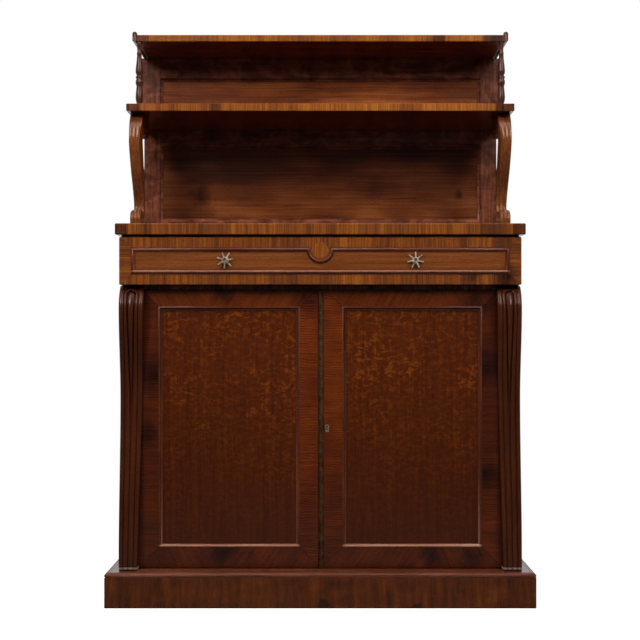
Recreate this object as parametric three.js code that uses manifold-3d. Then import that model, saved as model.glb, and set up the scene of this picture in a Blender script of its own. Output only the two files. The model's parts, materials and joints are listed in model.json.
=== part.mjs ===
// Regency chiffonier in richly figured dark hardwood. A moulded plinth carries a cupboard with two
// framed doors between carved pilasters, and a full-width frieze drawer with star knobs. On its slab
// stands a panelled back with two shelves, on S-scroll supports and turned spindles.
// Millimetres, +Z up, front towards -Y. The origin is on the floor, under the middle of the piece.

import * as THREE from "three";
import { mergeVertices } from "three/addons/utils/BufferGeometryUtils.js";
import Module from "manifold-3d";

const wasm = await Module();
wasm.setup();

// Shared clearances
const seam = 0.3; // between fixed pieces that touch
const slidingGap = 0.8; // beside a piece that slides
const weldDistance = 0.001; // vertices closer than this are one
const overrun = 2; // how far a cutter or a joined piece runs into its neighbour
const arris = 1; // eased edge of the visible boards

// Overall plan
const width = 1100; // across the plinth
const depth = 430; // from the plinth's front to the back

// Plinth and ledge
const plinthHeight = 78;
const plinthBoardThickness = 25;
const ledgeHeight = 11.7;
const ledgeMouldingWidth = 14;

// Carcase: setbacks are measured from the plinth's front
const carcaseInset = 37; // from the plinth's end to the carcase's side
const carcaseSideThickness = 25;
const carcaseBackThickness = 12;
const dividerThickness = 18;
const dividerDepth = 60; // behind the doors' front plane
const friezeHeight = 119.6; // from the divider to the slab
const topRailHeight = 20;
const topRailDepth = 50;
const topRailSetback = 10; // behind the frieze's front edge
const runnerWidth = 30;

// Slab
const slabSetback = 6;
const slabInset = 26; // from the plinth's end to the slab's end
const slabThickness = 29;
const slabEase = 2; // eased edge of the slab

// Cupboard shelf
const cupboardShelfTop = 380; // above the ledge
const cupboardShelfThickness = 16;
const cupboardShelfSetback = 125;
const battenSection = 20;

// Pilasters
const pilasterInset = 32.5; // from the plinth's end to the pilaster's outer face
const pilasterHeadWidth = 62;
const pilasterFootWidth = 47;
const pilasterHeadGap = 1.6; // under the drawer front
const pilasterHeadSetback = 45;
const pilasterBulgeSetback = 20;
const pilasterWaistSetback = 45;
const pilasterToeSetback = 20;
const pilasterToeDepth = 6;
const pilasterToeHeight = 16;
const pilasterBulgeHeight = 675; // above the ledge
const pilasterWaistHeight = 445;
const archDrop = 24.5; // arch centre below the pilaster's head
const loopRadius = 9.6; // middle of the carved loop's groove
const loopGrooveWidth = 4.8;
const loopGrooveFootWidth = 2.6;
const loopGrooveDepth = 8;
const loopFootHeight = 340; // where the loop's legs meet, above the ledge
const reedLineRadius = 18.5; // groove between the two reeds
const reedLineFoot = 13;
const reedLineDepth = 3.4;
const reedEdgeDrop = 3;
const reedLineCount = 9; // steps of the carving from its middle out to this groove
const tongueDrop = 1.6;
const reedShoulderDrop = 1.2;
const pilasterRowShares = [0.008, 0.02, 0.04, 0.1, 0.17, 0.24, 0.31, 0.38, 0.44, 0.5, 0.56, 0.62, 0.68,
  0.74, 0.8, 0.86, 0.91, 0.955]; // of the height up to the arch
const archSteps = 12;

// Drawer
const drawerSetback = 14;
const drawerFrontInset = 35.5; // from the plinth's end to the drawer front's end
const drawerFrontThickness = 22;
const drawerCloseGap = 1;
const drawerLap = 7.3; // of the front over the divider's edge
const drawerHeadGap = 5.4; // under the slab
const drawerBackClearance = 28; // between the drawer box and the carcase's back
const drawerSideThickness = 11;
const drawerBackThickness = 11;
const drawerTopClearance = 3;
const drawerBottomThickness = 6;
const drawerBottomLift = 9;
const drawerGrooveDepth = 5;
const drawerMouldingEnd = 30; // from the front's ends
const drawerMouldingMargin = 26.5; // from the front's long edges
const drawerMouldingWidth = 11.5;
const drawerMouldingHeight = 4;
const lobeRadius = 24.5; // dropped half circle at the middle of the moulding
const lobeCentreDrop = 6.5;
const lobeSteps = 12;

// Star knobs
const starSpacingShare = 0.4418; // of the width, between the two knobs
const starArmCount = 7;
const starTipRadius = 21.5;
const starArmWidth = 3.6;
const starTipWidth = 2.8;
const starThickness = 3.4;
const starStandoff = 6.5; // from the drawer's face to the arms
const starBossRadius = 6.6;
const starNeckRadius = 4;
const starStemRadius = 3;
const starRoseRadius = 9;
const starRoseThickness = 1.6;
const starBossRise = 2.2; // over the arms
const starDimpleRadius = 2.6;
const starNutRadius = 6.5;
const starNutThickness = 3;
const starRise = 1.5; // above the middle of the drawer's field
const starLeanDegrees = [110, 90]; // of one arm of the left and of the right star
const turnedSegments = 16;

// Doors
const doorSetback = 54;
const doorThickness = 22;
const doorHeight = 720.6;
const doorFootGap = 2;
const doorHeadGap = 1.5;
const doorMeetingGap = 1.5;
const meetingSetover = 4.45; // the doors meet this far to the left of the middle
const doorPilasterClearance = 1; // between an open door's face and the pilaster
const hingeTail = 42; // from the pivot to the door's outer edge
const hingeStileFace = 24; // from the pivot to the stile's inner edge
const meetingStileFace = 48; // beside the gap or the strip
const topRailFace = 43;
const bottomRailFace = 53;
const grooveSetback = 8; // from the door's face to its panel
const panelThickness = 8;
const panelGrooveDepth = 8;
const doorMouldingWidth = 10;
const doorMouldingRise = 0.6; // over the frame's face
const pivotPinRadius = 3;
const pivotPinLength = 9;
const pivotHoleClearance = 0.12;
const pivotPlateThickness = 2;
const pivotPlateWidth = 12;
const pivotPlateInboard = 12;
const pivotPlateOutboard = 22;
const pinSegments = 24;

// Brass strip, lock and keyhole on the right door
const stripWidth = 12.5;
const stripLetIn = 3;
const stripProud = 2.5;
const stripEndGap = 0.5;
const stripSteps = 8;
const keyholeInset = 21.5; // from the right door's meeting edge
const keyholeHeight = 366.4; // above the door's foot
const escutcheonThickness = 1.2;
const escutcheonRadius = 5.8;
const escutcheonSkirtWidth = 8.6;
const escutcheonHeight = 20;
const keyholeRadius = 2.6;
const keySlotWidth = 2.6;
const keySlotDrop = 9;
const keyPinRadius = 1.1;
const keyPinSetback = 1.5;
const lockCaseWidth = 38;
const lockCaseHeight = 64;
const lockCaseThickness = 13;
const lockBoltHeight = 16;
const lockBoltThickness = 7;
const lockBoltLength = 24;
const lockBoltTravel = 8;
const roundSteps = 10;

// Slide bolt on the back of the left door
const slideBoltInset = 24; // from the left door's meeting edge
const slideBoltCaseWidth = 18;
const slideBoltCaseHeight = 62;
const slideBoltCaseThickness = 9;
const slideBoltCaseDrop = 14; // below the door's head
const slideBoltSection = 6;
const slideBoltEndDrop = 1.2;
const slideBoltTail = 10; // below the case
const slideBoltTravel = 9;
const slideBoltKnobRadius = 2.4;
const slideBoltKnobReach = 4;

// Superstructure: its setbacks are measured from the plinth's front too
const backFrameInset = 35; // the insets here are from the plinth's ends
const backShoulderInset = 27; // of the wider part beside the upper panel
const backFrameThickness = 25;
const backFrameHeight = 523.4;
const backStileWidth = 44.5;
const lowerPanelBottom = 45; // above the slab
const lowerPanelTop = 268;
const upperPanelBottom = 368;
const upperPanelTop = 467;
const backMouldingWidth = 10;
const backPanelThickness = 6;
const backPanelLap = 8;
const backPanelSetback = 9; // behind the frame's face
const middleShelfInset = 32;
const middleShelfSetback = 131;
const middleShelfHeight = 312.6; // underside, above the slab
const middleShelfThickness = 19.8;
const topShelfInset = 44;
const topShelfSetback = 225;
const topShelfThickness = 18;
const earThickness = 12.7;
const earRise = 11; // over the shelf's top
const earBevel = 5;
const earBevelSteps = 3;
const spindleSetback = 237;
const spindleInset = 49.3; // to the spindle's middle line
const spindleRadius = 10.5;
const spindleSegments = 14;

// S-scroll supports
const scrollSetback = 140; // foremost point of the swell
const scrollReach = 140; // from there to the back of the upper volute
const scrollInset = 37.5; // from the plinth's end to the scroll's outer side
const scrollWidth = 27.5;
const scrollHeadWidth = 34; // of the upper volute, which widens inward
const scrollFlareShares = [0.72, 0.98]; // of the height, where it widens
const lowerVoluteRadius = 27;
const lowerVoluteReach = 43; // its centre, behind the swell
const upperVoluteRadius = 27;
const scrollReedCount = 3;
const scrollReedDepth = 2.4;
const scrollReedFadeShare = 0.2; // of that depth, at the scroll's top
const scrollReedShares = [1, 0.3, 0, 0.3]; // of that depth, from one groove over a reed
const scrollCurveSteps = 16;
const voluteSteps = 12;

// Heights that follow from the sizes above
const ledgeTop = plinthHeight + seam + ledgeHeight;
const doorBottom = ledgeTop + doorFootGap;
const doorTop = doorBottom + doorHeight;
const dividerBottom = doorTop + doorHeadGap;
const dividerTop = dividerBottom + dividerThickness;
const carcaseTop = dividerTop + friezeHeight;
const slabBottom = carcaseTop + seam;
const slabTop = slabBottom + slabThickness;
const drawerBottomEdge = dividerTop - drawerLap;
const drawerTopEdge = slabBottom - drawerHeadGap;
const pilasterTop = drawerBottomEdge - pilasterHeadGap;
const pilasterBottom = ledgeTop + seam;

// Places in plan that follow from the sizes above
const carcaseHalf = width / 2 - carcaseInset;
const slabHalf = width / 2 - slabInset;
const pilasterOuter = width / 2 - pilasterInset;
const drawerFrontHalf = width / 2 - drawerFrontInset;
const starOffset = width * starSpacingShare / 2;
const backFrameHalf = width / 2 - backFrameInset;
const backShoulderHalf = width / 2 - backShoulderInset;
const middleShelfHalf = width / 2 - middleShelfInset;
const topShelfHalf = width / 2 - topShelfInset;
const spindleOffset = width / 2 - spindleInset;
const scrollOuter = width / 2 - scrollInset;
const carcaseSideInner = carcaseHalf - carcaseSideThickness;
const carcaseBackFace = depth - carcaseBackThickness;
const friezeFace = drawerSetback + drawerFrontThickness + drawerCloseGap;
const pivotSetback = doorSetback + doorThickness / 2;
const pivotOffset = pilasterOuter - pilasterHeadWidth - doorPilasterClearance - doorThickness / 2;
const drawerBoxFront = drawerSetback + drawerFrontThickness + seam;
const drawerBoxBack = carcaseBackFace - drawerBackClearance;
const backFrameFace = depth - backFrameThickness;

// Turned sections and moulded sections, as shares of a width and a height
const ledgeSectionShares = [[0.12, 0], [0.12, 0.14], [0, 0.24], [0, 0.46], [0.06, 0.64], [0.18, 0.82],
  [0.36, 0.94], [0.58, 1], [1, 1], [1, 0]];
const doorMouldingShares = [[0, 0], [0, 0.94], [0.12, 1], [0.28, 1], [0.4, 0.9], [0.46, 0.68],
  [0.62, 0.46], [0.82, 0.36], [1, 0.28], [1, 0]];
const drawerMouldingShares = [[0, 0], [0, 0.35], [0.16, 0.4], [0.24, 0.75], [0.42, 1], [0.62, 1],
  [0.78, 0.75], [0.86, 0.4], [1, 0.35], [1, 0]];
const spindleShares = [[0.86, 0], [1, 0.01], [1, 0.036], [0.84, 0.048], [0.66, 0.062], [0.68, 0.08],
  [0.86, 0.09], [0.86, 0.108], [0.7, 0.118], [0.82, 0.136], [0.93, 0.164], [1, 0.203], [0.97, 0.235],
  [0.9, 0.28], [0.76, 0.355], [0.8, 0.38], [0.94, 0.395], [0.98, 0.42], [0.98, 0.447], [0.8, 0.462],
  [0.8, 0.476], [0.96, 0.484], [0.96, 0.504], [0.74, 0.516], [0.72, 0.53], [0.9, 0.545], [1, 0.575],
  [0.99, 0.6], [0.86, 0.669], [0.7, 0.746], [0.6, 0.822], [0.68, 0.832], [0.68, 0.846], [0.57, 0.858],
  [0.56, 0.9], [0.6, 0.938], [0.7, 0.948], [0.7, 0.975], [0.84, 0.984], [0.84, 1]];
const earShares = [[0, 0], [0, 0.86], [0.012, 0.97], [0.035, 1], [0.07, 0.97], [0.12, 0.86],
  [0.2, 0.74], [0.32, 0.66], [0.5, 0.63], [1, 0.63], [1, 0]];

// S-scroll lines, as shares of the reach behind the swell and of the height above the slab
const scrollFrontShares = [[0.2, 1], [0.13, 0.965], [0.05, 0.9], [0.01, 0.82], [0, 0.745],
  [0.045, 0.675], [0.115, 0.607], [0.19, 0.538], [0.28, 0.47], [0.38, 0.4], [0.47, 0.333],
  [0.55, 0.263], [0.575, 0.21], [0.53, 0.172]];
const scrollBackShares = [[0.44, 0.004], [0.58, 0.04], [0.67, 0.12], [0.69, 0.22], [0.69, 0.31],
  [0.68, 0.4], [0.66, 0.48], [0.63, 0.535], [0.53, 0.58], [0.42, 0.63], [0.34, 0.69], [0.31, 0.75],
  [0.34, 0.8], [0.44, 0.84], [0.62, 0.855]];

// Finishes
const finishes = {
  veneer: new THREE.MeshStandardMaterial({ color: "#7a4523", roughness: 0.42 }),
  banding: new THREE.MeshStandardMaterial({ color: "#8f5529", roughness: 0.42 }),
  carved: new THREE.MeshStandardMaterial({ color: "#5a2f1c", roughness: 0.38 }),
  panel: new THREE.MeshStandardMaterial({ color: "#66341c", roughness: 0.4 }),
  moulding: new THREE.MeshStandardMaterial({ color: "#6d3a24", roughness: 0.38 }),
  carcase: new THREE.MeshStandardMaterial({ color: "#8a6a48", roughness: 0.7 }),
  agedBrass: new THREE.MeshStandardMaterial({ color: "#a58a5c", roughness: 0.4, metalness: 1 }),
  darkBrass: new THREE.MeshStandardMaterial({ color: "#5c4a30", roughness: 0.5, metalness: 1 }),
  steel: new THREE.MeshStandardMaterial({ color: "#8b8880", roughness: 0.4, metalness: 1 }),
};

// Geometry helpers

function enclosedVolume(geometry) {
  const corners = geometry.attributes.position;
  const order = geometry.index;
  const [a, b, c] = [new THREE.Vector3(), new THREE.Vector3(), new THREE.Vector3()];
  let volume = 0;
  for (let face = 0; face < order.count; face += 3) {
    a.fromBufferAttribute(corners, order.getX(face));
    b.fromBufferAttribute(corners, order.getX(face + 1));
    c.fromBufferAttribute(corners, order.getX(face + 2));
    volume += a.dot(b.cross(c)) / 6;
  }
  return volume;
}

// A mesh from points and faces, with its faces turned to point out.
function shell(points, faces) {
  const geometry = new THREE.BufferGeometry();
  geometry.setAttribute("position", new THREE.Float32BufferAttribute(points.flat(), 3));
  geometry.setIndex(faces.flat());
  if (enclosedVolume(geometry) < 0) {
    geometry.setIndex(faces.map(([a, b, c]) => [a, c, b]).flat());
  }
  return geometry;
}

// Faces that fill a flat outline, turned the same way as the outline runs.
function fillFaces(outline) {
  const contour = outline.map(([across, up]) => new THREE.Vector2(across, up));
  const direction = Math.sign(THREE.ShapeUtils.area(contour));
  return THREE.ShapeUtils.triangulateShape(contour, []).map(([a, b, c]) => {
    const turn = Math.sign(THREE.ShapeUtils.area([contour[a], contour[b], contour[c]]));
    return turn === direction ? [a, b, c] : [a, c, b];
  });
}

// A body through rings of points; its open ends are filled by the faces of one flat outline.
function loft(rings, closed, endOutline) {
  const around = rings[0].length;
  const spans = closed ? rings.length : rings.length - 1;
  const faces = [];
  for (let ring = 0; ring < spans; ring += 1) {
    const near = ring * around;
    const far = ((ring + 1) % rings.length) * around;
    for (let point = 0; point < around; point += 1) {
      const next = (point + 1) % around;
      faces.push([near + point, near + next, far + next], [near + point, far + next, far + point]);
    }
  }
  if (!closed) {
    const end = (rings.length - 1) * around;
    for (const [a, b, c] of fillFaces(endOutline)) {
      faces.push([c, b, a], [end + a, end + b, end + c]);
    }
  }
  return shell(rings.flat(), faces);
}

// The direction along which a moulding's mitre runs at one corner of its path.
function mitre(before, corner, after) {
  const along = [];
  if (before) along.push(corner.clone().sub(before).normalize());
  if (after) along.push(after.clone().sub(corner).normalize());
  const inward = along.map((step) => new THREE.Vector2(-step.y, step.x));
  if (inward.length === 1) return inward[0];
  const sum = inward[0].clone().add(inward[1]);
  return sum.divideScalar(1 + inward[0].dot(inward[1]));
}

// A moulding's section carried along a flat path, with mitred corners. Its section runs inward, to
// the left of the path, and up.
function runMoulding(path, section, closed) {
  const corners = path.map(([x, y]) => new THREE.Vector2(x, y));
  const rings = corners.map((corner, index) => {
    const before = closed ? corners.at(index - 1) : corners[index - 1];
    const after = closed ? corners[(index + 1) % corners.length] : corners[index + 1];
    const inward = mitre(before, corner, after);
    return section.map(([across, up]) => [corner.x + inward.x * across, corner.y + inward.y * across, up]);
  });
  return loft(rings, closed, section);
}

// A section of shares at its real size.
function sized(shares, across, up) {
  return shares.map(([acrossShare, upShare]) => [acrossShare * across, upShare * up]);
}

function box(x, y, z) {
  const geometry = new THREE.BoxGeometry(x[1] - x[0], y[1] - y[0], z[1] - z[0]);
  return geometry.translate((x[0] + x[1]) / 2, (y[0] + y[1]) / 2, (z[0] + z[1]) / 2);
}

function outlineShape(outline, holes = []) {
  const shape = new THREE.Shape(outline.map(([x, y]) => new THREE.Vector2(x, y)));
  shape.holes = holes.map((hole) => new THREE.Path(hole.map(([x, y]) => new THREE.Vector2(x, y))));
  return shape;
}

const plainExtrusion = (length) => ({ depth: length, bevelEnabled: false });

// An outline in plan, raised between two heights.
function raised(outline, z, holes) {
  const geometry = new THREE.ExtrudeGeometry(outlineShape(outline, holes), plainExtrusion(z[1] - z[0]));
  return geometry.translate(0, 0, z[0]);
}

const acrossFrame = new THREE.Matrix4().makeBasis(
  new THREE.Vector3(0, 1, 0), new THREE.Vector3(0, 0, 1), new THREE.Vector3(1, 0, 0));
const forwardFrame = new THREE.Matrix4().makeBasis(
  new THREE.Vector3(1, 0, 0), new THREE.Vector3(0, 0, 1), new THREE.Vector3(0, -1, 0));

// A side outline of depth and height, carried across the piece.
function carriedAcross(outline, x, holes) {
  const geometry = new THREE.ExtrudeGeometry(outlineShape(outline, holes), plainExtrusion(x[1] - x[0]));
  return geometry.applyMatrix4(acrossFrame).translate(x[0], 0, 0);
}

// A front outline of width and height, carried from back to front.
function carriedForward(outline, y, holes) {
  const geometry = new THREE.ExtrudeGeometry(outlineShape(outline, holes), plainExtrusion(y[1] - y[0]));
  return geometry.applyMatrix4(forwardFrame).translate(0, y[1], 0);
}

const rectangle = (x, y) => [[x[0], y[0]], [x[1], y[0]], [x[1], y[1]], [x[0], y[1]]];

// A board whose long edges are eased.
function easedBoard(x, y, z, ease = arris) {
  const shape = outlineShape(rectangle([x[0] + ease, x[1] - ease], [y[0] + ease, y[1] - ease]));
  const options = {
    depth: z[1] - z[0] - ease * 2,
    bevelThickness: ease,
    bevelSize: ease,
    bevelSegments: 1,
  };
  return new THREE.ExtrudeGeometry(shape, options).translate(0, 0, z[0] + ease);
}

// A round bar along one axis: "x", "y" or "z".
function bar(radius, axis, from, to, segments) {
  const geometry = new THREE.CylinderGeometry(radius, radius, to - from, segments);
  geometry.translate(0, (from + to) / 2, 0);
  if (axis === "x") geometry.rotateZ(-Math.PI / 2);
  if (axis === "z") geometry.rotateX(Math.PI / 2);
  return geometry;
}

function solidOf(geometry) {
  const bare = geometry.clone();
  bare.deleteAttribute("normal");
  bare.deleteAttribute("uv");
  const merged = mergeVertices(bare, weldDistance);
  return new wasm.Manifold(new wasm.Mesh({
    numProp: 3,
    vertProperties: new Float32Array(merged.attributes.position.array),
    triVerts: new Uint32Array(merged.index.array),
  }));
}

function geometryOf(solid) {
  const mesh = solid.getMesh();
  const geometry = new THREE.BufferGeometry();
  geometry.setAttribute("position", new THREE.BufferAttribute(mesh.vertProperties, 3));
  geometry.setIndex(new THREE.BufferAttribute(mesh.triVerts, 1));
  return geometry;
}

const cut = (geometry, ...cutters) => geometryOf(
  cutters.reduce((rest, cutter) => rest.subtract(solidOf(cutter)), solidOf(geometry)));

const join = (geometry, ...others) => geometryOf(
  others.reduce((whole, other) => whole.add(solidOf(other)), solidOf(geometry)));

function piece(name, geometry, finish) {
  const mesh = new THREE.Mesh(geometry, finish);
  mesh.name = name;
  return mesh;
}

// The span from one distance to another, on the left (-1) or right (1) of a middle plane.
const span = (side, near, far) => [side * near, side * far].sort((a, b) => a - b);
const sides = [["left", -1], ["right", 1]];
const blend = (from, to, share) => from + (to - from) * share;
const easeInOut = (share) => share * share * (3 - 2 * share);

// Plinth: four boards, the moulded ledge and the carcase's bottom board that it frames.
function makePlinth() {
  const group = new THREE.Group();
  const height = [0, plinthHeight];
  const half = width / 2;
  const inner = half - plinthBoardThickness;
  group.add(piece("plinth_front", box([-half, half], [0, plinthBoardThickness], height), finishes.veneer));
  for (const [label, side] of sides) {
    const board = box(span(side, inner, half), [plinthBoardThickness + seam, depth], height);
    group.add(piece(`plinth_${label}`, board, finishes.veneer));
  }
  const back = box([seam - inner, inner - seam], [depth - plinthBoardThickness, depth], height);
  group.add(piece("plinth_back", back, finishes.carcase));

  const path = [[-half, depth], [-half, 0], [half, 0], [half, depth]];
  const moulding = runMoulding(path, sized(ledgeSectionShares, ledgeMouldingWidth, ledgeHeight), false);
  moulding.translate(0, 0, plinthHeight + seam);
  group.add(piece("plinth_moulding", moulding, finishes.moulding));

  const reach = half - ledgeMouldingWidth - seam;
  const board = box([-reach, reach], [ledgeMouldingWidth + seam, depth], [plinthHeight + seam, ledgeTop]);
  const bottom = cut(board, ...pivotHoles(plinthHeight, ledgeTop + overrun));
  group.add(piece("carcase_bottom", bottom, finishes.veneer));
  return group;
}

// Round holes for the doors' pins, between two heights.
function pivotHoles(bottom, top) {
  return sides.map(([, side]) => bar(pivotPinRadius + pivotHoleClearance, "z", bottom, top, pinSegments)
    .translate(side * pivotOffset, pivotSetback, 0));
}

// Carcase: sides notched behind the pilasters, back, drawer divider, runners and top rail.
function makeCarcase() {
  const group = new THREE.Group();
  const between = [seam - carcaseSideInner, carcaseSideInner - seam];
  const notch = pilasterTop + seam;
  const sideOutline = [[doorSetback, pilasterBottom], [doorSetback, notch], [friezeFace, notch],
    [friezeFace, carcaseTop], [depth, carcaseTop], [depth, pilasterBottom]];
  for (const [label, side] of sides) {
    const board = carriedAcross(sideOutline, span(side, carcaseSideInner, carcaseHalf));
    group.add(piece(`carcase_side_${label}`, board, finishes.veneer));
  }
  const back = box(between, [carcaseBackFace, depth], [pilasterBottom, carcaseTop]);
  group.add(piece("carcase_back", back, finishes.carcase));

  const noseHalf = pilasterOuter - pilasterHeadWidth - seam;
  const dividerBack = doorSetback + dividerDepth;
  const dividerOutline = [[-noseHalf, friezeFace], [noseHalf, friezeFace], [noseHalf, doorSetback],
    [between[1], doorSetback], [between[1], dividerBack], [between[0], dividerBack],
    [between[0], doorSetback], [-noseHalf, doorSetback]];
  const pinHoles = pivotHoles(dividerBottom - overrun, doorTop + pivotPinLength + doorHeadGap);
  const divider = cut(raised(dividerOutline, [dividerBottom, dividerTop]), ...pinHoles, slideBoltHole());
  group.add(piece("drawer_divider", divider, finishes.veneer));

  for (const [label, side] of sides) {
    const across = span(side, carcaseSideInner - runnerWidth, carcaseSideInner - seam);
    const along = [dividerBack + seam, carcaseBackFace - seam];
    const runner = box(across, along, [dividerBottom, dividerTop]);
    group.add(piece(`drawer_runner_${label}`, runner, finishes.carcase));
  }

  const railFront = friezeFace + topRailSetback;
  const rail = box(between, [railFront, railFront + topRailDepth], [carcaseTop - topRailHeight, carcaseTop]);
  group.add(piece("carcase_top_rail", rail, finishes.carcase));

  const slab = easedBoard([-slabHalf, slabHalf], [slabSetback, depth], [slabBottom, slabTop],
    slabEase);
  group.add(piece("top_slab", slab, finishes.banding));
  return group;
}

// The shelf inside the cupboard, on a batten at each side.
function makeCupboardShelf() {
  const group = new THREE.Group();
  const top = ledgeTop + cupboardShelfTop;
  const bottom = top - cupboardShelfThickness;
  const along = [cupboardShelfSetback, carcaseBackFace - seam];
  const shelf = box([seam - carcaseSideInner, carcaseSideInner - seam], along, [bottom, top]);
  group.add(piece("cupboard_shelf", shelf, finishes.carcase));
  for (const [label, side] of sides) {
    const across = span(side, carcaseSideInner - battenSection, carcaseSideInner - seam);
    const batten = box(across, along, [bottom - seam - battenSection, bottom - seam]);
    group.add(piece(`shelf_batten_${label}`, batten, finishes.carcase));
  }
  return group;
}

// Pilasters

// The setback of a pilaster's face at one height: a rolled toe, a hollow waist, a full swell under a
// head that falls back.
function pilasterSetback(height) {
  const bulge = ledgeTop + pilasterBulgeHeight;
  const waist = ledgeTop + pilasterWaistHeight;
  const toe = pilasterBottom + pilasterToeHeight;
  if (height > bulge) {
    const share = (height - bulge) / (pilasterTop - bulge);
    return blend(pilasterBulgeSetback, pilasterHeadSetback, share * share);
  }
  if (height > waist) {
    const share = (height - waist) / (bulge - waist);
    return blend(pilasterWaistSetback, pilasterBulgeSetback, easeInOut(share));
  }
  if (height > toe) {
    return blend(pilasterToeSetback, pilasterWaistSetback, easeInOut((height - toe) / (waist - toe)));
  }
  const share = (toe - height) / pilasterToeHeight;
  return pilasterToeSetback + pilasterToeDepth * (1 - Math.sqrt(1 - share * share));
}

// Distances from the pilaster's middle line at which its carving changes, and how deep it is there.
function pilasterCarving(height) {
  const archHeight = pilasterTop - archDrop;
  const upShare = Math.min(1, (height - pilasterBottom) / (archHeight - pilasterBottom));
  const foot = ledgeTop + loopFootHeight;
  const loopShare = THREE.MathUtils.clamp((height - foot) / (archHeight - foot), 0, 1);
  const halfGroove = blend(loopGrooveFootWidth, loopGrooveWidth, loopShare) / 2;
  const grooveMiddle = loopRadius * loopShare;
  const grooveDepth = loopGrooveDepth * blend(1 / 2, 1, loopShare);
  const inner = Math.max(grooveMiddle - halfGroove, 0);
  const outer = grooveMiddle + halfGroove;
  const line = blend(reedLineFoot, reedLineRadius, upShare);
  const edge = blend(pilasterFootWidth, pilasterHeadWidth, upShare) / 2;
  const middleDrop = inner > 0 ? 0 : grooveDepth;
  const innerDrop = inner > 0 ? tongueDrop * loopShare : grooveDepth;
  return [
    [0, middleDrop],
    [inner / 2, blend(middleDrop, innerDrop, 1 / 2)],
    [inner, innerDrop],
    [blend(inner, grooveMiddle, 1 / 2), blend(innerDrop, grooveDepth, 4 / 5)],
    [grooveMiddle, grooveDepth],
    [blend(grooveMiddle, outer, 1 / 2), grooveDepth * 4 / 5],
    [outer, reedShoulderDrop],
    [blend(outer, line, 1 / 3), 0],
    [blend(outer, line, 3 / 4), reedShoulderDrop / 2],
    [line, reedLineDepth],
    [blend(line, edge, 1 / 4), reedShoulderDrop / 2],
    [blend(line, edge, 1 / 2), 0],
    [blend(line, edge, 4 / 5), reedShoulderDrop],
    [edge, reedEdgeDrop],
  ];
}

// The middle line of a pilaster, which leans outward as the pilaster tapers.
function pilasterMiddle(height) {
  const share = Math.min(1, (height - pilasterBottom) / (pilasterTop - archDrop - pilasterBottom));
  return pilasterOuter - blend(pilasterFootWidth, pilasterHeadWidth, share) / 2;
}

// A pilaster's carved face is a net of points: its lines follow the carved loop up one side, round
// the arch and down the other. The net is closed by the sides and a flat back.
function makePilaster(side) {
  const archHeight = pilasterTop - archDrop;
  const back = doorSetback - seam;
  const rows = [];
  const heights = [0, ...pilasterRowShares, 1].map((share) => blend(pilasterBottom, archHeight, share));
  const straightRow = (height, hand) => pilasterCarving(height).map(([away, drop]) => (
    [side * (pilasterMiddle(height) + hand * away), pilasterSetback(height) + drop, height]));
  heights.forEach((height) => rows.push(straightRow(height, -1)));
  for (let step = 1; step < archSteps; step += 1) {
    const angle = Math.PI * (1 - step / archSteps);
    const levels = pilasterCarving(archHeight);
    const halfWidth = pilasterHeadWidth / 2;
    const reach = Math.min(halfWidth / Math.abs(Math.cos(angle)), archDrop / Math.sin(angle));
    const line = levels[reedLineCount][0];
    rows.push(levels.map(([away, drop], level) => {
      const shareBeyond = (away - line) / (halfWidth - line);
      const radius = level > reedLineCount ? blend(line, reach, shareBeyond) : Math.min(away, reach);
      const height = archHeight + radius * Math.sin(angle);
      const across = pilasterMiddle(archHeight) + radius * Math.cos(angle);
      return [side * across, pilasterSetback(height) + drop, height];
    }));
  }
  [...heights].reverse().forEach((height) => rows.push(straightRow(height, 1)));

  const levelCount = rows[0].length;
  const points = rows.flat();
  const faces = [];
  for (let row = 0; row + 1 < rows.length; row += 1) {
    for (let level = 0; level + 1 < levelCount; level += 1) {
      const near = row * levelCount + level;
      const far = near + levelCount;
      faces.push([near, near + 1, far + 1], [near, far + 1, far]);
    }
  }

  // The rim runs from the middle of the foot to one side, up, over the head, down and back.
  const edgeOf = (row) => row * levelCount + levelCount - 1;
  const lastRow = rows.length - 1;
  const rim = [];
  for (let level = 0; level < levelCount; level += 1) rim.push(level);
  for (let row = 1; row < lastRow; row += 1) rim.push(edgeOf(row));
  for (let level = levelCount - 1; level > 0; level -= 1) rim.push(lastRow * levelCount + level);
  const rear = new Map();
  for (const index of rim) {
    const [x, , z] = points[index];
    rear.set(index, points.push([x, back, z]) - 1);
  }
  rim.forEach((index, place) => {
    const next = rim[(place + 1) % rim.length];
    faces.push([index, rear.get(index), rear.get(next)], [index, rear.get(next), next]);
  });

  // The back: a fan over the foot, a ladder between the sides and a fan under the head.
  const fan = (apex, ring) => ring.slice(1).forEach((index, place) => faces.push([apex, index, ring[place]]));
  const rearEdge = (row) => rear.get(edgeOf(row));
  const footRing = [rearEdge(lastRow - 1), ...rim.slice(-levelCount + 1).map((index) => rear.get(index)),
    ...rim.slice(0, levelCount).map((index) => rear.get(index))];
  fan(rearEdge(1), footRing);
  for (let row = 1; row + 1 < heights.length; row += 1) {
    const [left, right] = [rearEdge(row), rearEdge(lastRow - row)];
    const [leftAbove, rightAbove] = [rearEdge(row + 1), rearEdge(lastRow - row - 1)];
    faces.push([left, right, rightAbove], [left, rightAbove, leftAbove]);
  }
  const apex = points.push([side * pilasterMiddle(archHeight), back, archHeight + archDrop / 2]) - 1;
  const headRing = [rearEdge(lastRow - heights.length + 1)];
  for (let row = heights.length - 1; row <= lastRow - heights.length + 1; row += 1) {
    headRing.push(rearEdge(row));
  }
  fan(apex, headRing);
  return weld(points, faces);
}

// Joins points that coincide, and drops the faces that this closes up.
function weld(points, faces) {
  const merged = mergeVertices(shell(points, faces), weldDistance);
  const order = merged.index.array;
  const kept = [];
  for (let face = 0; face < order.length; face += 3) {
    const [a, b, c] = order.slice(face, face + 3);
    if (a !== b && b !== c && c !== a) kept.push(a, b, c);
  }
  merged.setIndex(kept);
  return merged;
}

// Drawer

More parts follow.
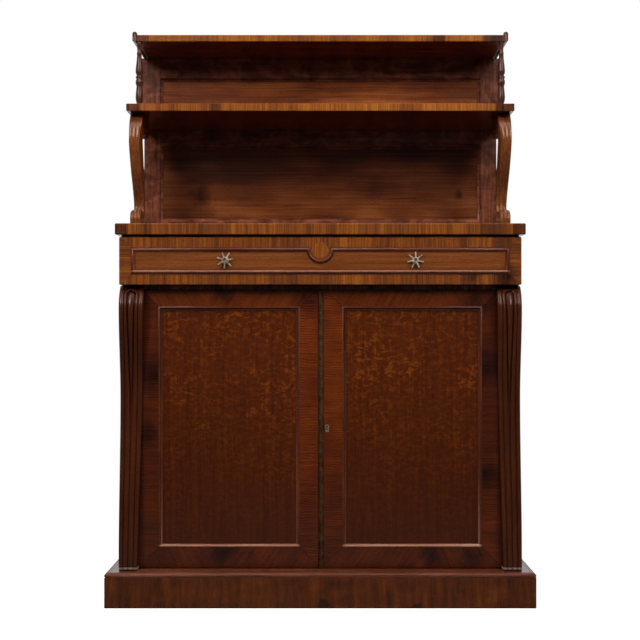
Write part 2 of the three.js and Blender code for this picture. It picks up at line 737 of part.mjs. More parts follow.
function makeDrawer() {
  const group = new THREE.Group();
  const frontBack = drawerSetback + drawerFrontThickness;
  const fieldHeight = (drawerBottomEdge + drawerTopEdge) / 2 + starRise;
  const stemHole = (side) => bar(starStemRadius + seam, "y", drawerSetback - overrun, frontBack + overrun,
    turnedSegments).translate(side * starOffset, 0, fieldHeight);
  const front = easedBoard([-drawerFrontHalf, drawerFrontHalf], [drawerSetback, frontBack],
    [drawerBottomEdge, drawerTopEdge]);
  group.add(piece("drawer_front", cut(front, stemHole(-1), stemHole(1)), finishes.banding));

  const bottomEdge = dividerTop + seam;
  const topEdge = carcaseTop - topRailHeight - drawerTopClearance;
  const outer = carcaseSideInner - slidingGap;
  const inner = outer - drawerSideThickness;
  const grooveBottom = bottomEdge + drawerBottomLift;
  const grooveTop = grooveBottom + drawerBottomThickness + seam * 2;
  for (const [label, side] of sides) {
    const section = [[outer, bottomEdge], [outer, topEdge], [inner, topEdge], [inner, grooveTop],
      [inner + drawerGrooveDepth, grooveTop], [inner + drawerGrooveDepth, grooveBottom],
      [inner, grooveBottom], [inner, bottomEdge]].map(([across, up]) => [side * across, up]);
    const board = carriedForward(section, [drawerBoxFront, drawerBoxBack]);
    group.add(piece(`drawer_side_${label}`, board, finishes.carcase));
  }
  const back = box([seam - inner, inner - seam], [drawerBoxBack - drawerBackThickness, drawerBoxBack],
    [grooveTop, topEdge]);
  group.add(piece("drawer_back", back, finishes.carcase));
  const bottomReach = inner + drawerGrooveDepth - seam;
  const bottom = box([-bottomReach, bottomReach], [drawerBoxFront, drawerBoxBack],
    [grooveBottom + seam, grooveTop - seam]);
  group.add(piece("drawer_bottom", bottom, finishes.carcase));

  const moulding = makeDrawerMoulding().translate(0, drawerSetback - seam, 0);
  group.add(piece("drawer_moulding", moulding, finishes.moulding));
  const leans = starLeanDegrees.map((lean) => THREE.MathUtils.degToRad(lean));
  for (const [place, [label, side]] of sides.entries()) {
    const knob = piece(`star_knob_${label}`, makeStarKnob(leans[place]), finishes.agedBrass);
    knob.position.set(side * starOffset, drawerSetback - seam, fieldHeight);
    group.add(knob);
  }
  return group;
}

// The bead round the drawer's field, which drops round a half circle at the middle of its top.
function makeDrawerMoulding() {
  const right = drawerFrontHalf - drawerMouldingEnd;
  const bottom = drawerBottomEdge + drawerMouldingMargin;
  const top = drawerTopEdge - drawerMouldingMargin;
  const start = Math.asin(lobeCentreDrop / lobeRadius);
  const path = [[-right, bottom], [right, bottom], [right, top]];
  for (let step = 0; step <= lobeSteps; step += 1) {
    const angle = blend(start, -Math.PI - start, step / lobeSteps);
    path.push([lobeRadius * Math.cos(angle), top - lobeCentreDrop + lobeRadius * Math.sin(angle)]);
  }
  path.push([-right, top]);
  const section = sized(drawerMouldingShares, drawerMouldingWidth, drawerMouldingHeight);
  return runMoulding(path, section, true).rotateX(Math.PI / 2);
}

// A star knob: thin arms round a domed boss, on a neck and rose, with its stem through the drawer
// front to a round nut. Its origin is on the drawer's face.
function makeStarKnob(lean) {
  const outline = [];
  const halfStep = Math.PI / starArmCount;
  const rootRadius = starArmWidth / 2 / Math.sin(halfStep);
  const at = (radius, angle) => [radius * Math.cos(angle), radius * Math.sin(angle)];
  for (let arm = 0; arm < starArmCount; arm += 1) {
    const angle = lean + arm * 2 * halfStep;
    const tipAngle = Math.atan2(starTipWidth / 2, starTipRadius);
    outline.push(at(rootRadius, angle - halfStep));
    outline.push(at(starTipRadius - starTipWidth / 3, angle - tipAngle));
    outline.push(at(starTipRadius, angle - tipAngle / 2));
    outline.push(at(starTipRadius, angle + tipAngle / 2));
    outline.push(at(starTipRadius - starTipWidth / 3, angle + tipAngle));
  }
  const armsFront = starStandoff + starThickness;
  const arms = carriedForward(outline, [-armsFront, -starStandoff]);
  const stemEnd = -drawerFrontThickness - seam * 2;
  const profile = [[0, stemEnd - starNutThickness], [starNutRadius, stemEnd - starNutThickness],
    [starNutRadius, stemEnd], [starStemRadius, stemEnd], [starStemRadius, 0], [starRoseRadius, 0],
    [starRoseRadius, starRoseThickness / 2], [starNeckRadius, starRoseThickness],
    [starNeckRadius, starStandoff - starRoseThickness], [starBossRadius, starStandoff],
    [starBossRadius, armsFront], [blend(starDimpleRadius, starBossRadius, 3 / 5), armsFront + starBossRise],
    [starDimpleRadius, armsFront + starBossRise], [0, armsFront + starBossRise / 2]];
  const turned = new THREE.LatheGeometry(profile.map(([r, h]) => new THREE.Vector2(r, h)), turnedSegments);
  turned.rotateX(Math.PI);
  return join(turned, arms);
}

// Doors

// One framed door, drawn about its pivot line: x runs inboard from the pivot, y back from the door's
// face and z up from the door's foot.
function makeDoor(label, side) {
  const group = new THREE.Group();
  group.position.set(side * pivotOffset, doorSetback, doorBottom);
  const name = (part) => `door_${label}_${part}`;
  const inboard = (near, far) => span(-side, near, far);
  const mirrored = (outline) => outline.map(([x, y]) => [-side * x, y]);
  const meetingEdge = pivotOffset - doorMeetingGap / 2 + side * meetingSetover;
  const stripShare = side > 0 ? stripWidth + seam : 0;
  const meetingInner = meetingEdge - stripShare - meetingStileFace;
  const full = [0, doorHeight];
  const grooveBack = grooveSetback + panelThickness;

  // Hinge stile, grooved for the panel and recessed for the pivot plates.
  const hingeSection = [[-hingeTail, 0], [hingeStileFace, 0], [hingeStileFace, grooveSetback],
    [hingeStileFace - panelGrooveDepth, grooveSetback], [hingeStileFace - panelGrooveDepth, grooveBack],
    [hingeStileFace, grooveBack], [hingeStileFace, doorThickness], [-hingeTail, doorThickness]];
  const plateBack = (doorThickness + pivotPlateWidth) / 2;
  const plateFront = (doorThickness - pivotPlateWidth) / 2;
  const recess = (z) => box(inboard(-pivotPlateOutboard - seam, pivotPlateInboard + seam),
    [plateFront - seam, plateBack + seam], z);
  const recessDepth = pivotPlateThickness + seam;
  const hingeStile = cut(raised(mirrored(hingeSection), full), recess([-overrun, recessDepth]),
    recess([doorHeight - recessDepth, doorHeight + overrun]));
  group.add(piece(name("hinge_stile"), hingeStile, finishes.panel));

  // Meeting stile: plain on the left door; rebated for the strip and cut for the lock on the right.
  const rebate = side > 0
    ? [[meetingEdge - stripShare, 0], [meetingEdge - stripShare, stripLetIn + seam],
      [meetingEdge, stripLetIn + seam]]
    : [[meetingEdge, 0]];
  const meetingSection = [...rebate, [meetingEdge, doorThickness], [meetingInner, doorThickness],
    [meetingInner, grooveBack], [meetingInner + panelGrooveDepth, grooveBack],
    [meetingInner + panelGrooveDepth, grooveSetback], [meetingInner, grooveSetback], [meetingInner, 0]];
  const blank = raised(mirrored(meetingSection), full);
  const cutters = side > 0 ? lockCutters(meetingEdge, inboard) : [boltKeep(meetingEdge, inboard)];
  group.add(piece(name("meeting_stile"), cut(blank, ...cutters), finishes.panel));

  // Rails, with stub tenons in the stiles' grooves.
  const railSpan = inboard(hingeStileFace + seam, meetingInner - seam);
  const tenonReach = panelGrooveDepth - seam * 2;
  const tenon = (z) => box([railSpan[0] - tenonReach, railSpan[1] + tenonReach],
    [grooveSetback + seam, grooveBack - seam], z);
  const bottomSection = [[0, 0], [0, bottomRailFace], [grooveSetback, bottomRailFace],
    [grooveSetback, bottomRailFace - panelGrooveDepth], [grooveBack, bottomRailFace - panelGrooveDepth],
    [grooveBack, bottomRailFace], [doorThickness, bottomRailFace], [doorThickness, 0]];
  const topEdge = doorHeight - topRailFace;
  const topSection = [[0, doorHeight], [0, topEdge], [grooveSetback, topEdge],
    [grooveSetback, topEdge + panelGrooveDepth], [grooveBack, topEdge + panelGrooveDepth],
    [grooveBack, topEdge], [doorThickness, topEdge], [doorThickness, doorHeight]];
  const bottomRail = join(carriedAcross(bottomSection, railSpan),
    tenon([seam, bottomRailFace - panelGrooveDepth - seam]));
  const topRail = join(carriedAcross(topSection, railSpan),
    tenon([topEdge + panelGrooveDepth + seam, doorHeight - seam]));
  group.add(piece(name("bottom_rail"), bottomRail, finishes.panel));
  group.add(piece(name("top_rail"), topRail, finishes.panel));

  // Panel in the grooves, and the moulding in front of it.
  const lap = panelGrooveDepth - seam;
  const panel = box(inboard(hingeStileFace - lap, meetingInner + lap),
    [grooveSetback + seam, grooveBack - seam], [bottomRailFace - lap, topEdge + lap]);
  group.add(piece(name("panel"), panel, finishes.panel));
  const window = inboard(hingeStileFace + seam, meetingInner - seam);
  const path = rectangle(window, [bottomRailFace + seam, topEdge - seam]);
  const section = sized(doorMouldingShares, doorMouldingWidth, grooveSetback + doorMouldingRise);
  const moulding = runMoulding(path, section, true).rotateX(Math.PI / 2).translate(0, grooveSetback, 0);
  group.add(piece(name("moulding"), moulding, finishes.moulding));

  // Pivot plates, let into the door's ends, each with its pin.
  for (const [place, direction, end] of [["top", 1, doorHeight], ["bottom", -1, 0]]) {
    const plate = box(inboard(-pivotPlateOutboard, pivotPlateInboard), [plateFront, plateBack],
      span(direction, direction * end - pivotPlateThickness, direction * end));
    const pin = bar(pivotPinRadius, "z", ...span(direction, direction * end - pivotPlateThickness / 2,
      direction * end + pivotPinLength), pinSegments).translate(0, doorThickness / 2, 0);
    group.add(piece(name(`pivot_${place}`), join(plate, pin), finishes.darkBrass));
  }
  if (side > 0) addLock(group, meetingEdge, inboard);
  else addSlideBolt(group, meetingEdge, inboard);
  return group;
}

// The keyhole's outline: a round head over a slot.
function keyholeOutline(radius, slotWidth, drop) {
  const start = Math.asin(slotWidth / 2 / radius);
  const outline = [[slotWidth / 2, -drop], [slotWidth / 2, -radius * Math.cos(start)]];
  for (let step = 1; step < roundSteps; step += 1) {
    const angle = blend(start, 2 * Math.PI - start, step / roundSteps) - Math.PI / 2;
    outline.push([radius * Math.cos(angle), radius * Math.sin(angle)]);
  }
  outline.push([-slotWidth / 2, -radius * Math.cos(start)], [-slotWidth / 2, -drop]);
  return outline;
}

// What is cut from the right meeting stile: the lock's pocket from behind, and the keyhole.
function lockCutters(meetingEdge, inboard) {
  const pocketFront = doorThickness - lockCaseThickness - seam * 2;
  const pocket = box(inboard(meetingEdge - lockCaseWidth - seam * 2, meetingEdge + overrun),
    [pocketFront, doorThickness + overrun],
    [keyholeHeight - lockCaseHeight / 2 - seam, keyholeHeight + lockCaseHeight / 2 + seam]);
  const keyhole = carriedForward(keyholeOutline(keyholeRadius, keySlotWidth, keySlotDrop),
    [-overrun, pocketFront + overrun]);
  keyhole.translate(inboard(meetingEdge - keyholeInset, meetingEdge)[1], 0, keyholeHeight);
  return [pocket, keyhole];
}

// The slot in the left meeting stile that takes the lock's bolt.
function boltKeep(meetingEdge, inboard) {
  const middle = lockBoltMiddle();
  return box(inboard(meetingEdge - lockBoltTravel - seam, meetingEdge + overrun),
    [middle - lockBoltThickness / 2 - slidingGap, middle + lockBoltThickness / 2 + slidingGap],
    [keyholeHeight - lockBoltHeight / 2 - slidingGap, keyholeHeight + lockBoltHeight / 2 + slidingGap]);
}

function lockBoltMiddle() {
  return doorThickness - seam - lockCaseThickness / 2;
}

// The brass strip, escutcheon, lock case and sliding bolt of the right door.
function addLock(group, meetingEdge, inboard) {
  const mirroredX = (x) => -x;
  const stripMiddle = meetingEdge - stripWidth / 2;
  const strip = [[meetingEdge, stripLetIn], [meetingEdge - stripWidth, stripLetIn]];
  for (let step = 0; step <= stripSteps; step += 1) {
    const angle = Math.PI * (1 - step / stripSteps);
    strip.push([stripMiddle + stripWidth / 2 * Math.cos(angle), -stripProud * Math.sin(angle)]);
  }
  const stripOutline = strip.map(([x, y]) => [mirroredX(x), y]);
  const stripBar = raised(stripOutline, [stripEndGap, doorHeight - stripEndGap]);
  group.add(piece("astragal_strip", stripBar, finishes.darkBrass));

  const keyX = mirroredX(meetingEdge - keyholeInset);
  const skirt = escutcheonHeight - escutcheonRadius;
  const plateOutline = keyholeOutline(escutcheonRadius, escutcheonSkirtWidth, skirt);
  const plateHole = keyholeOutline(keyholeRadius, keySlotWidth, keySlotDrop);
  const plate = carriedForward(plateOutline, [-seam - escutcheonThickness, -seam], [plateHole]);
  group.add(piece("keyhole_escutcheon", plate.translate(keyX, 0, keyholeHeight), finishes.agedBrass));

  const caseBack = doorThickness - seam;
  const caseFront = caseBack - lockCaseThickness;
  const middle = lockBoltMiddle();
  const halfCase = lockCaseHeight / 2;
  const halfBolt = lockBoltHeight / 2;
  const block = box(inboard(meetingEdge - lockCaseWidth - seam, meetingEdge - seam), [caseFront, caseBack],
    [keyholeHeight - halfCase, keyholeHeight + halfCase]);
  const channelEnd = meetingEdge - seam - lockBoltLength - slidingGap;
  const channel = box(inboard(channelEnd, meetingEdge + overrun),
    [middle - lockBoltThickness / 2 - seam, middle + lockBoltThickness / 2 + seam],
    [keyholeHeight - halfBolt - seam, keyholeHeight + halfBolt + seam]);
  const pin = bar(keyPinRadius, "y", keyPinSetback, caseFront + overrun / 2, turnedSegments);
  const lockCase = join(cut(block, channel), pin.translate(keyX, 0, keyholeHeight));
  group.add(piece("lock_case", lockCase, finishes.steel));

  const bolt = box(inboard(meetingEdge - seam - lockBoltLength, meetingEdge - seam),
    [middle - lockBoltThickness / 2, middle + lockBoltThickness / 2],
    [keyholeHeight - halfBolt, keyholeHeight + halfBolt]);
  group.add(piece("lock_bolt", bolt, finishes.agedBrass));
}

// The slide bolt on the back of the left door, whose case lets its knob travel in a slot.
function addSlideBolt(group, meetingEdge, inboard) {
  const middle = meetingEdge - slideBoltInset;
  const front = doorThickness + seam;
  const back = front + slideBoltCaseThickness;
  const caseTop = doorHeight - slideBoltCaseDrop;
  const caseBottom = caseTop - slideBoltCaseHeight;
  const half = slideBoltSection / 2;
  const boltFront = front + (slideBoltCaseThickness - slideBoltSection) / 2;
  const boltDepth = [boltFront, boltFront + slideBoltSection];
  const knobHeight = (caseTop + caseBottom) / 2 - slideBoltTravel / 2;
  const block = box(inboard(middle - slideBoltCaseWidth / 2, middle + slideBoltCaseWidth / 2), [front, back],
    [caseBottom, caseTop]);
  const channel = box(inboard(middle - half - seam, middle + half + seam),
    [boltDepth[0] - seam, boltDepth[1] + seam], [caseBottom - overrun, caseTop + overrun]);
  const slotHalf = slideBoltKnobRadius + seam;
  const slot = box(inboard(middle - slotHalf, middle + slotHalf), [boltDepth[1], back + overrun],
    [knobHeight - slotHalf, knobHeight + slideBoltTravel + slotHalf]);
  group.add(piece("slide_bolt_case", cut(block, channel, slot), finishes.agedBrass));

  const rod = box(inboard(middle - half, middle + half), boltDepth,
    [caseBottom - slideBoltTail, doorHeight - slideBoltEndDrop]);
  const knobDepth = [boltDepth[1] - overrun, back + slideBoltKnobReach];
  const knob = bar(slideBoltKnobRadius, "y", ...knobDepth, turnedSegments);
  knob.translate(inboard(middle, middle)[0], 0, knobHeight);
  group.add(piece("slide_bolt", join(rod, knob), finishes.steel));
}

// The hole in the divider that takes the slide bolt.
function slideBoltHole() {
  const middle = doorMeetingGap / 2 + meetingSetover + slideBoltInset;
  const half = slideBoltSection / 2 + seam;
  const depthMiddle = doorSetback + doorThickness + seam + slideBoltCaseThickness / 2;
  return box([-middle - half, half - middle], [depthMiddle - half, depthMiddle + half],
    [dividerBottom - overrun, doorTop - slideBoltEndDrop + slideBoltTravel + slidingGap]);
}

// Superstructure, drawn with z up from the slab's top

function makeSuperstructure() {
  const group = new THREE.Group();
  group.position.z = slabTop;
  const half = backFrameHalf;
  const windowHalf = half - backStileWidth;
  const windows = [
    ["lower", [lowerPanelBottom, lowerPanelTop]],
    ["upper", [upperPanelBottom, upperPanelTop]],
  ];
  const rebateFront = backFrameFace + backPanelSetback;
  const shoulder = middleShelfHeight + middleShelfThickness / 2;
  const outline = [[-half, seam], [half, seam], [half, shoulder], [backShoulderHalf, shoulder],
    [backShoulderHalf, backFrameHeight], [-backShoulderHalf, backFrameHeight],
    [-backShoulderHalf, shoulder], [-half, shoulder]];
  let frame = carriedForward(outline, [backFrameFace, depth],
    windows.map(([, height]) => rectangle([-windowHalf, windowHalf], height)));
  for (const [label, height] of windows) {
    const lap = backPanelLap;
    frame = cut(frame, box([-windowHalf - lap, windowHalf + lap], [rebateFront, depth + overrun],
      [height[0] - lap, height[1] + lap]));
    const path = rectangle([-windowHalf - overrun, windowHalf + overrun],
      [height[0] - overrun, height[1] + overrun]);
    const section = sized(doorMouldingShares, backMouldingWidth + overrun, backPanelSetback);
    const moulding = runMoulding(path, section, true).rotateX(Math.PI / 2).translate(0, rebateFront, 0);
    frame = join(frame, moulding);
    const reach = windowHalf + lap - seam;
    const panelFront = rebateFront + seam;
    const panel = box([-reach, reach], [panelFront, panelFront + backPanelThickness],
      [height[0] - lap + seam, height[1] + lap - seam]);
    group.add(piece(`back_panel_${label}`, panel, finishes.panel));
  }
  group.add(piece("back_frame", frame, finishes.carved));

  const middleTop = middleShelfHeight + middleShelfThickness;
  const middleShelf = easedBoard([-middleShelfHalf, middleShelfHalf],
    [middleShelfSetback, backFrameFace - seam],
    [middleShelfHeight, middleTop]);
  group.add(piece("shelf_middle", middleShelf, finishes.banding));

  const topBottom = backFrameHeight + seam;
  const topShelf = easedBoard([-topShelfHalf, topShelfHalf], [topShelfSetback, depth],
    [topBottom, topBottom + topShelfThickness]);
  group.add(piece("shelf_top", topShelf, finishes.banding));

  for (const [label, side] of sides) {
    group.add(piece(`scroll_support_${label}`, makeScroll(side), finishes.carved));
    const earInner = topShelfHalf + seam;
    const ear = makeEar(span(side, earInner, earInner + earThickness), topBottom);
    group.add(piece(`shelf_ear_${label}`, ear, finishes.carved));
    const turned = makeSpindle(backFrameHeight - middleTop - seam);
    const spindle = piece(`spindle_${label}`, turned, finishes.carved);
    spindle.position.set(side * spindleOffset, spindleSetback, middleTop + seam);
    group.add(spindle);
  }
  return group;
}

// The shaped end of the top shelf: a rounded peak at the front that sweeps down behind it.
function makeEar(x, bottom) {
  const shares = sized(earShares, depth - topShelfSetback - earBevel * 2,
    topShelfThickness + earRise - earBevel * 2);
  const options = {
    depth: x[1] - x[0] - earBevel * 2,
    bevelThickness: earBevel,
    bevelSize: earBevel,
    bevelSegments: earBevelSteps,
  };
  const geometry = new THREE.ExtrudeGeometry(outlineShape(shares), options);
  geometry.applyMatrix4(acrossFrame);
  return geometry.translate(x[0] + earBevel, topShelfSetback + earBevel, bottom + earBevel);
}

function makeSpindle(height) {
  const outline = sized(spindleShares, spindleRadius, height);
  const profile = [[0, 0], ...outline, [0, height]].map(([r, h]) => new THREE.Vector2(r, h));
  return new THREE.LatheGeometry(profile, spindleSegments).rotateX(Math.PI / 2);
}

// The side outline of a scroll: down its front, over and round the lower volute, up its back and
// round the upper volute, which hangs under the shelf.
function scrollOutline() {
  const height = middleShelfHeight - seam * 2;
  const curve = (shares) => new THREE.SplineCurve(sized(shares, scrollReach, height)
    .map(([back, up]) => new THREE.Vector2(back, up))).getPoints(scrollCurveSteps);
  const arc = (middle, radius, from, to) => {
    const points = [];
    for (let step = 1; step < voluteSteps; step += 1) {
      const angle = blend(from, to, step / voluteSteps);
      const [back, up] = [middle[0] + radius * Math.cos(angle), middle[1] + radius * Math.sin(angle)];
      points.push(new THREE.Vector2(back, up));
    }
    return points;
  };
  const lower = arc([lowerVoluteReach, lowerVoluteRadius], lowerVoluteRadius, Math.PI / 4, 3 * Math.PI / 2);
  const upper = arc([scrollReach - upperVoluteRadius, height - upperVoluteRadius], upperVoluteRadius,
    -Math.PI * 5 / 6, Math.PI / 2);
  const points = [...curve(scrollFrontShares), ...lower, ...curve(scrollBackShares), ...upper];
  points.push(new THREE.Vector2(scrollReach - upperVoluteRadius, height));
  return points;
}

// A scroll support: its outline is carried across in slices, each drawn in a little where the
// grooves between its reeds run. Its head widens towards the middle of the piece.
function makeScroll(side) {
  const outline = scrollOutline();
  const sliceCount = scrollReedCount * scrollReedShares.length;
  const rings = [];
  for (let slice = 0; slice <= sliceCount; slice += 1) {
    const drop = scrollReedShares[slice % scrollReedShares.length] * scrollReedDepth;
    rings.push(outline.map((corner, index) => {
      const before = outline.at(index - 1);
      const after = outline[(index + 1) % outline.length];
      const faded = drop * blend(1, scrollReedFadeShare, corner.y / middleShelfHeight);
      const inward = mitre(before, corner, after).multiplyScalar(faded);
      const flare = THREE.MathUtils.smoothstep(corner.y / middleShelfHeight, ...scrollFlareShares);
      const across = blend(scrollWidth, scrollHeadWidth, flare) * (1 - slice / sliceCount);
      const x = side * (scrollOuter - across);
      return [x, scrollSetback + corner.x + inward.x, seam + corner.y + inward.y];
    }));
  }
  return loft(rings, false, outline.map((corner) => [corner.x, corner.y]));
}

const cabinet = new THREE.Group();
cabinet.position.y = -depth / 2;
cabinet.add(makePlinth(), makeCarcase(), makeCupboardShelf(), makeDrawer(), makeSuperstructure());
for (const [label, side] of sides) {
  cabinet.add(piece(`pilaster_${label}`, makePilaster(side), finishes.carved));
  cabinet.add(makeDoor(label, side));
}

const chiffonier = new THREE.Group();
chiffonier.add(cabinet);

export default chiffonier;
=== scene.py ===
"""A Regency chiffonier in dark figured hardwood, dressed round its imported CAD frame.

Lengths are in metres unless a name ends in _MM. The front faces -Y and +Z is up.
"""

import json
import math

import bmesh
import bpy
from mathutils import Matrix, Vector


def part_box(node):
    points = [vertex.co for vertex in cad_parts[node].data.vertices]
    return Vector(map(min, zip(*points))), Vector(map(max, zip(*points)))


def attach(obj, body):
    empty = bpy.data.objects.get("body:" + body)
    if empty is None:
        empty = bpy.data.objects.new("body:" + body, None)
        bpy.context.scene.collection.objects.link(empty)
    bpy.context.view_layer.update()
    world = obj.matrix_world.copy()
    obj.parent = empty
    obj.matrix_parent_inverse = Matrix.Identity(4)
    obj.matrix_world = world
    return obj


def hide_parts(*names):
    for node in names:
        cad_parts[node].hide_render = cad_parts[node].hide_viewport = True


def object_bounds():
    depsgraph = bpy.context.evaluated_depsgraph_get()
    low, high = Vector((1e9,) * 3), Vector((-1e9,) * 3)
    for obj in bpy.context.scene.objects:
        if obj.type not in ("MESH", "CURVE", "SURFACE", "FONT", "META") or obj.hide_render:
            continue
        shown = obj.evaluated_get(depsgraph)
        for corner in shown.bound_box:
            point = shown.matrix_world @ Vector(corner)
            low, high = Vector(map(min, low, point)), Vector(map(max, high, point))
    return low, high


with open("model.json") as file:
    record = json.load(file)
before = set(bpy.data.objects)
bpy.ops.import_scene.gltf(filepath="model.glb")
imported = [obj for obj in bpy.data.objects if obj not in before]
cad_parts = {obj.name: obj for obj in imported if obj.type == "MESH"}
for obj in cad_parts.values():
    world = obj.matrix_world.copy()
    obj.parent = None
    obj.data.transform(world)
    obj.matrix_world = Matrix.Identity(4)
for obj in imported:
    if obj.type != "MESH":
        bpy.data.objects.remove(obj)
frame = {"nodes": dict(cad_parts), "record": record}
cad_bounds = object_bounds()

MM = 0.001

# The photograph's frame: a square picture, taken level from in front of the plinth.
PHOTO_WIDTH_PX = 640
LENS_PX = 1061.4
SENSOR_MM = 36.0
CAMERA_PLACE = Vector((0.0, -2.915, 0.701))
HORIZON_PX = 333.0
MIDDLE_PX = 320.3

# Studio: two tall softboxes with grids, a wide one overhead, a faint fill and a pale floor.
# Each softbox has its place, its aim, its width and height, its power and its spread in degrees.
SOFTBOXES = {
    "left": ((-1.9, -3.2, 3.3), (0.0, 0.0, 1.5), (1.0, 2.4), 10.4, 48),
    "right": ((1.9, -3.2, 3.3), (0.0, 0.0, 1.5), (1.0, 2.4), 8.5, 48),
    "overhead": ((0.0, -1.7, 3.5), (0.0, -0.1, 0.9), (2.6, 1.0), 36.0, 180),
}
FILL_STRENGTH = 0.05
FLOOR_RADIUS = 1.9
FLOOR_FADE = (0.85, 1.55)
FLOOR_GLOW = 0.86
FLOOR_IN_MIRRORS = 0.14

# Node kinds
AO = "ShaderNodeAmbientOcclusion"
MAPPING = "ShaderNodeMapping"
MATH = "ShaderNodeMath"
MIX = "ShaderNodeMix"  # its inputs: a share, a vector share, the first tone and the second
NOISE = "ShaderNodeTexNoise"
RAMP = "ShaderNodeValToRGB"
RANGE = "ShaderNodeMapRange"
SEPARATE = "ShaderNodeSeparateXYZ"
VECTOR = "ShaderNodeVectorMath"

# What stands for what: the body that each node rides on, and the slot of its finish.
NODE_BODY = {
    node: body for body, nodes in frame["record"]["behaviour"]["bodies"].items() for node in nodes
}
NODE_SLOT = {part["node"]: part["material_slot"] for part in frame["record"]["subparts"]}


def blend(start, end, share):
    return start + (end - start) * share


def steps(count):
    """The shares from 0 to 1 in that many equal steps."""
    return [place / count for place in range(count + 1)]


def linear(colour):
    """An sRGB hex colour as linear RGBA."""
    parts = [int(colour[place : place + 2], 16) / 255 for place in (1, 3, 5)]
    curved = [((part + 0.055) / 1.055) ** 2.4 if part > 0.04045 else part / 12.92 for part in parts]
    return (*curved, 1.0)


def add_node(tree, kind, *values, out=0, sockets=None, stops=(), **settings):
    """Adds a node and gives one of its outputs.

    Its inputs are set by their order or by name, to values or to the outputs of other nodes, and
    None leaves one as it is. A colour ramp's stops are pairs of a place and a hex colour.
    """
    node = tree.nodes.new(kind)
    for name, value in settings.items():
        setattr(node, name, value)
    for socket, value in (dict(enumerate(values)) | (sockets or {})).items():
        if isinstance(value, bpy.types.NodeSocket):
            tree.links.new(value, node.inputs[socket])
        elif value is not None:
            node.inputs[socket].default_value = value
    if stops:
        elements = node.color_ramp.elements
        elements[0].position = stops[0][0]
        elements[1].position = stops[-1][0]
        for spot, _ in stops[1:-1]:
            elements.new(spot)
        for element, (_, colour) in zip(elements, stops):
            element.color = linear(colour)
    return node.outputs[out] if node.outputs else node


def new_material(name):
    """An empty material, its tree and the places on its object."""
    material = bpy.data.materials.new(name)
    material.use_nodes = True
    tree = material.node_tree
    tree.nodes.clear()
    return material, tree, add_node(tree, "ShaderNodeTexCoord", out="Object")


def end_material(tree, colour, rough, relief, strength, depth_mm, more):
    """Ends a material with its colour, its roughness, its skin's relief, and more sockets."""
    bump = add_node(tree, "ShaderNodeBump", strength, depth_mm * MM, sockets={"Height": relief})
    sockets = {"Base Color": colour, "Roughness": rough, "Normal": bump} | more
    shader = add_node(tree, "ShaderNodeBsdfPrincipled", sockets=sockets)
    add_node(tree, "ShaderNodeOutputMaterial", shader)


# Patterns: each returns a socket. A tone runs from 0, dark, to 1, light.


def flat_distance(tree, place, across, up):
    """How far a place is from an X and a height, seen square from the front."""
    flat = add_node(tree, VECTOR, place, (1.0, 0.0, 1.0), operation="MULTIPLY")
    return add_node(tree, VECTOR, flat, (across, 0.0, up), operation="DISTANCE", out="Value")


def drifted(tree, place, reach_mm, drift_mm):
    """Places that wander by up to drift_mm over about reach_mm, so that straight grain bends."""
    swirl = add_node(tree, NOISE, place, None, 1000 / reach_mm, 1.0, out="Color")
    return add_node(tree, VECTOR, swirl, (2 * drift_mm * MM,) * 3, place, operation="MULTIPLY_ADD")


def cloud(tree, place, lump_mm, detail=2.0, seed=0.0, curl=0.0, turn_degrees=0.0):
    """Noise whose lumps have the given sizes along X, Y and Z, turned in the plane of the front."""
    turn = (0.0, math.radians(turn_degrees), 0.0)
    size = [length * MM for length in lump_mm]
    sized = add_node(tree, MAPPING, place, (seed,) * 3, turn, size, vector_type="TEXTURE")
    return add_node(tree, NOISE, sized, None, 1.0, detail, sockets={"Distortion": curl})


def lumps_along(lie, length_mm, width_mm):
    """The lumps of a grain that is long along the axes named in its lie, and narrow across them."""
    return [length_mm if axis in lie else width_mm for axis in "xyz"]


def grain_tone(
    tree, place, lie, streak_mm, line_mm, seed=0.0, line_share=0.35,
    turn_degrees=0.0, tones=(0.0, 1.0),
):
    """Straight grain: broad streaks of growth with fine lines in them, between two tones."""
    bent = drifted(tree, place, 160, streak_mm[1] * 0.9)
    broad = cloud(tree, bent, lumps_along(lie, *streak_mm), 2.5, seed, 0.0, turn_degrees)
    fine = cloud(tree, bent, lumps_along(lie, *line_mm), 1.0, seed + 7, 0.0, turn_degrees)
    mixed = add_node(tree, MIX, line_share, None, broad, fine)
    return add_node(tree, RANGE, mixed, 0.3, 0.7, *tones)


def leaf_tone(tree, place, across, leaf_mm, seed):
    """Cross-banding: leaves of veneer side by side, of unlike widths, each with its own tone."""
    axis = tuple(float(name == across) for name in "xyz")
    along = add_node(tree, VECTOR, place, axis, operation="MULTIPLY")
    uneven = drifted(tree, along, 2.2 * leaf_mm, 0.8 * leaf_mm)
    run = add_node(tree, SEPARATE, uneven, out="xyz".index(across))
    count = add_node(tree, MATH, run, 1000 / leaf_mm, seed, operation="MULTIPLY_ADD")
    leaf = add_node(tree, MATH, count, operation="FLOOR")
    own = add_node(tree, "ShaderNodeTexWhiteNoise", None, leaf, noise_dimensions="1D")
    slow = add_node(tree, RANGE, cloud(tree, along, (95, 95, 95), 1.0, seed), 0.35, 0.65)
    lie = "xyz".replace(across, "")
    streaks = grain_tone(tree, place, lie, (300, 7), (160, 2.2), seed, 0.55)
    leaves = add_node(tree, MIX, 0.68, None, own, slow)
    mixed = add_node(tree, MIX, 0.55, None, leaves, streaks)
    return add_node(tree, RANGE, mixed, 0.0, 1.0, 0.2, 0.82)


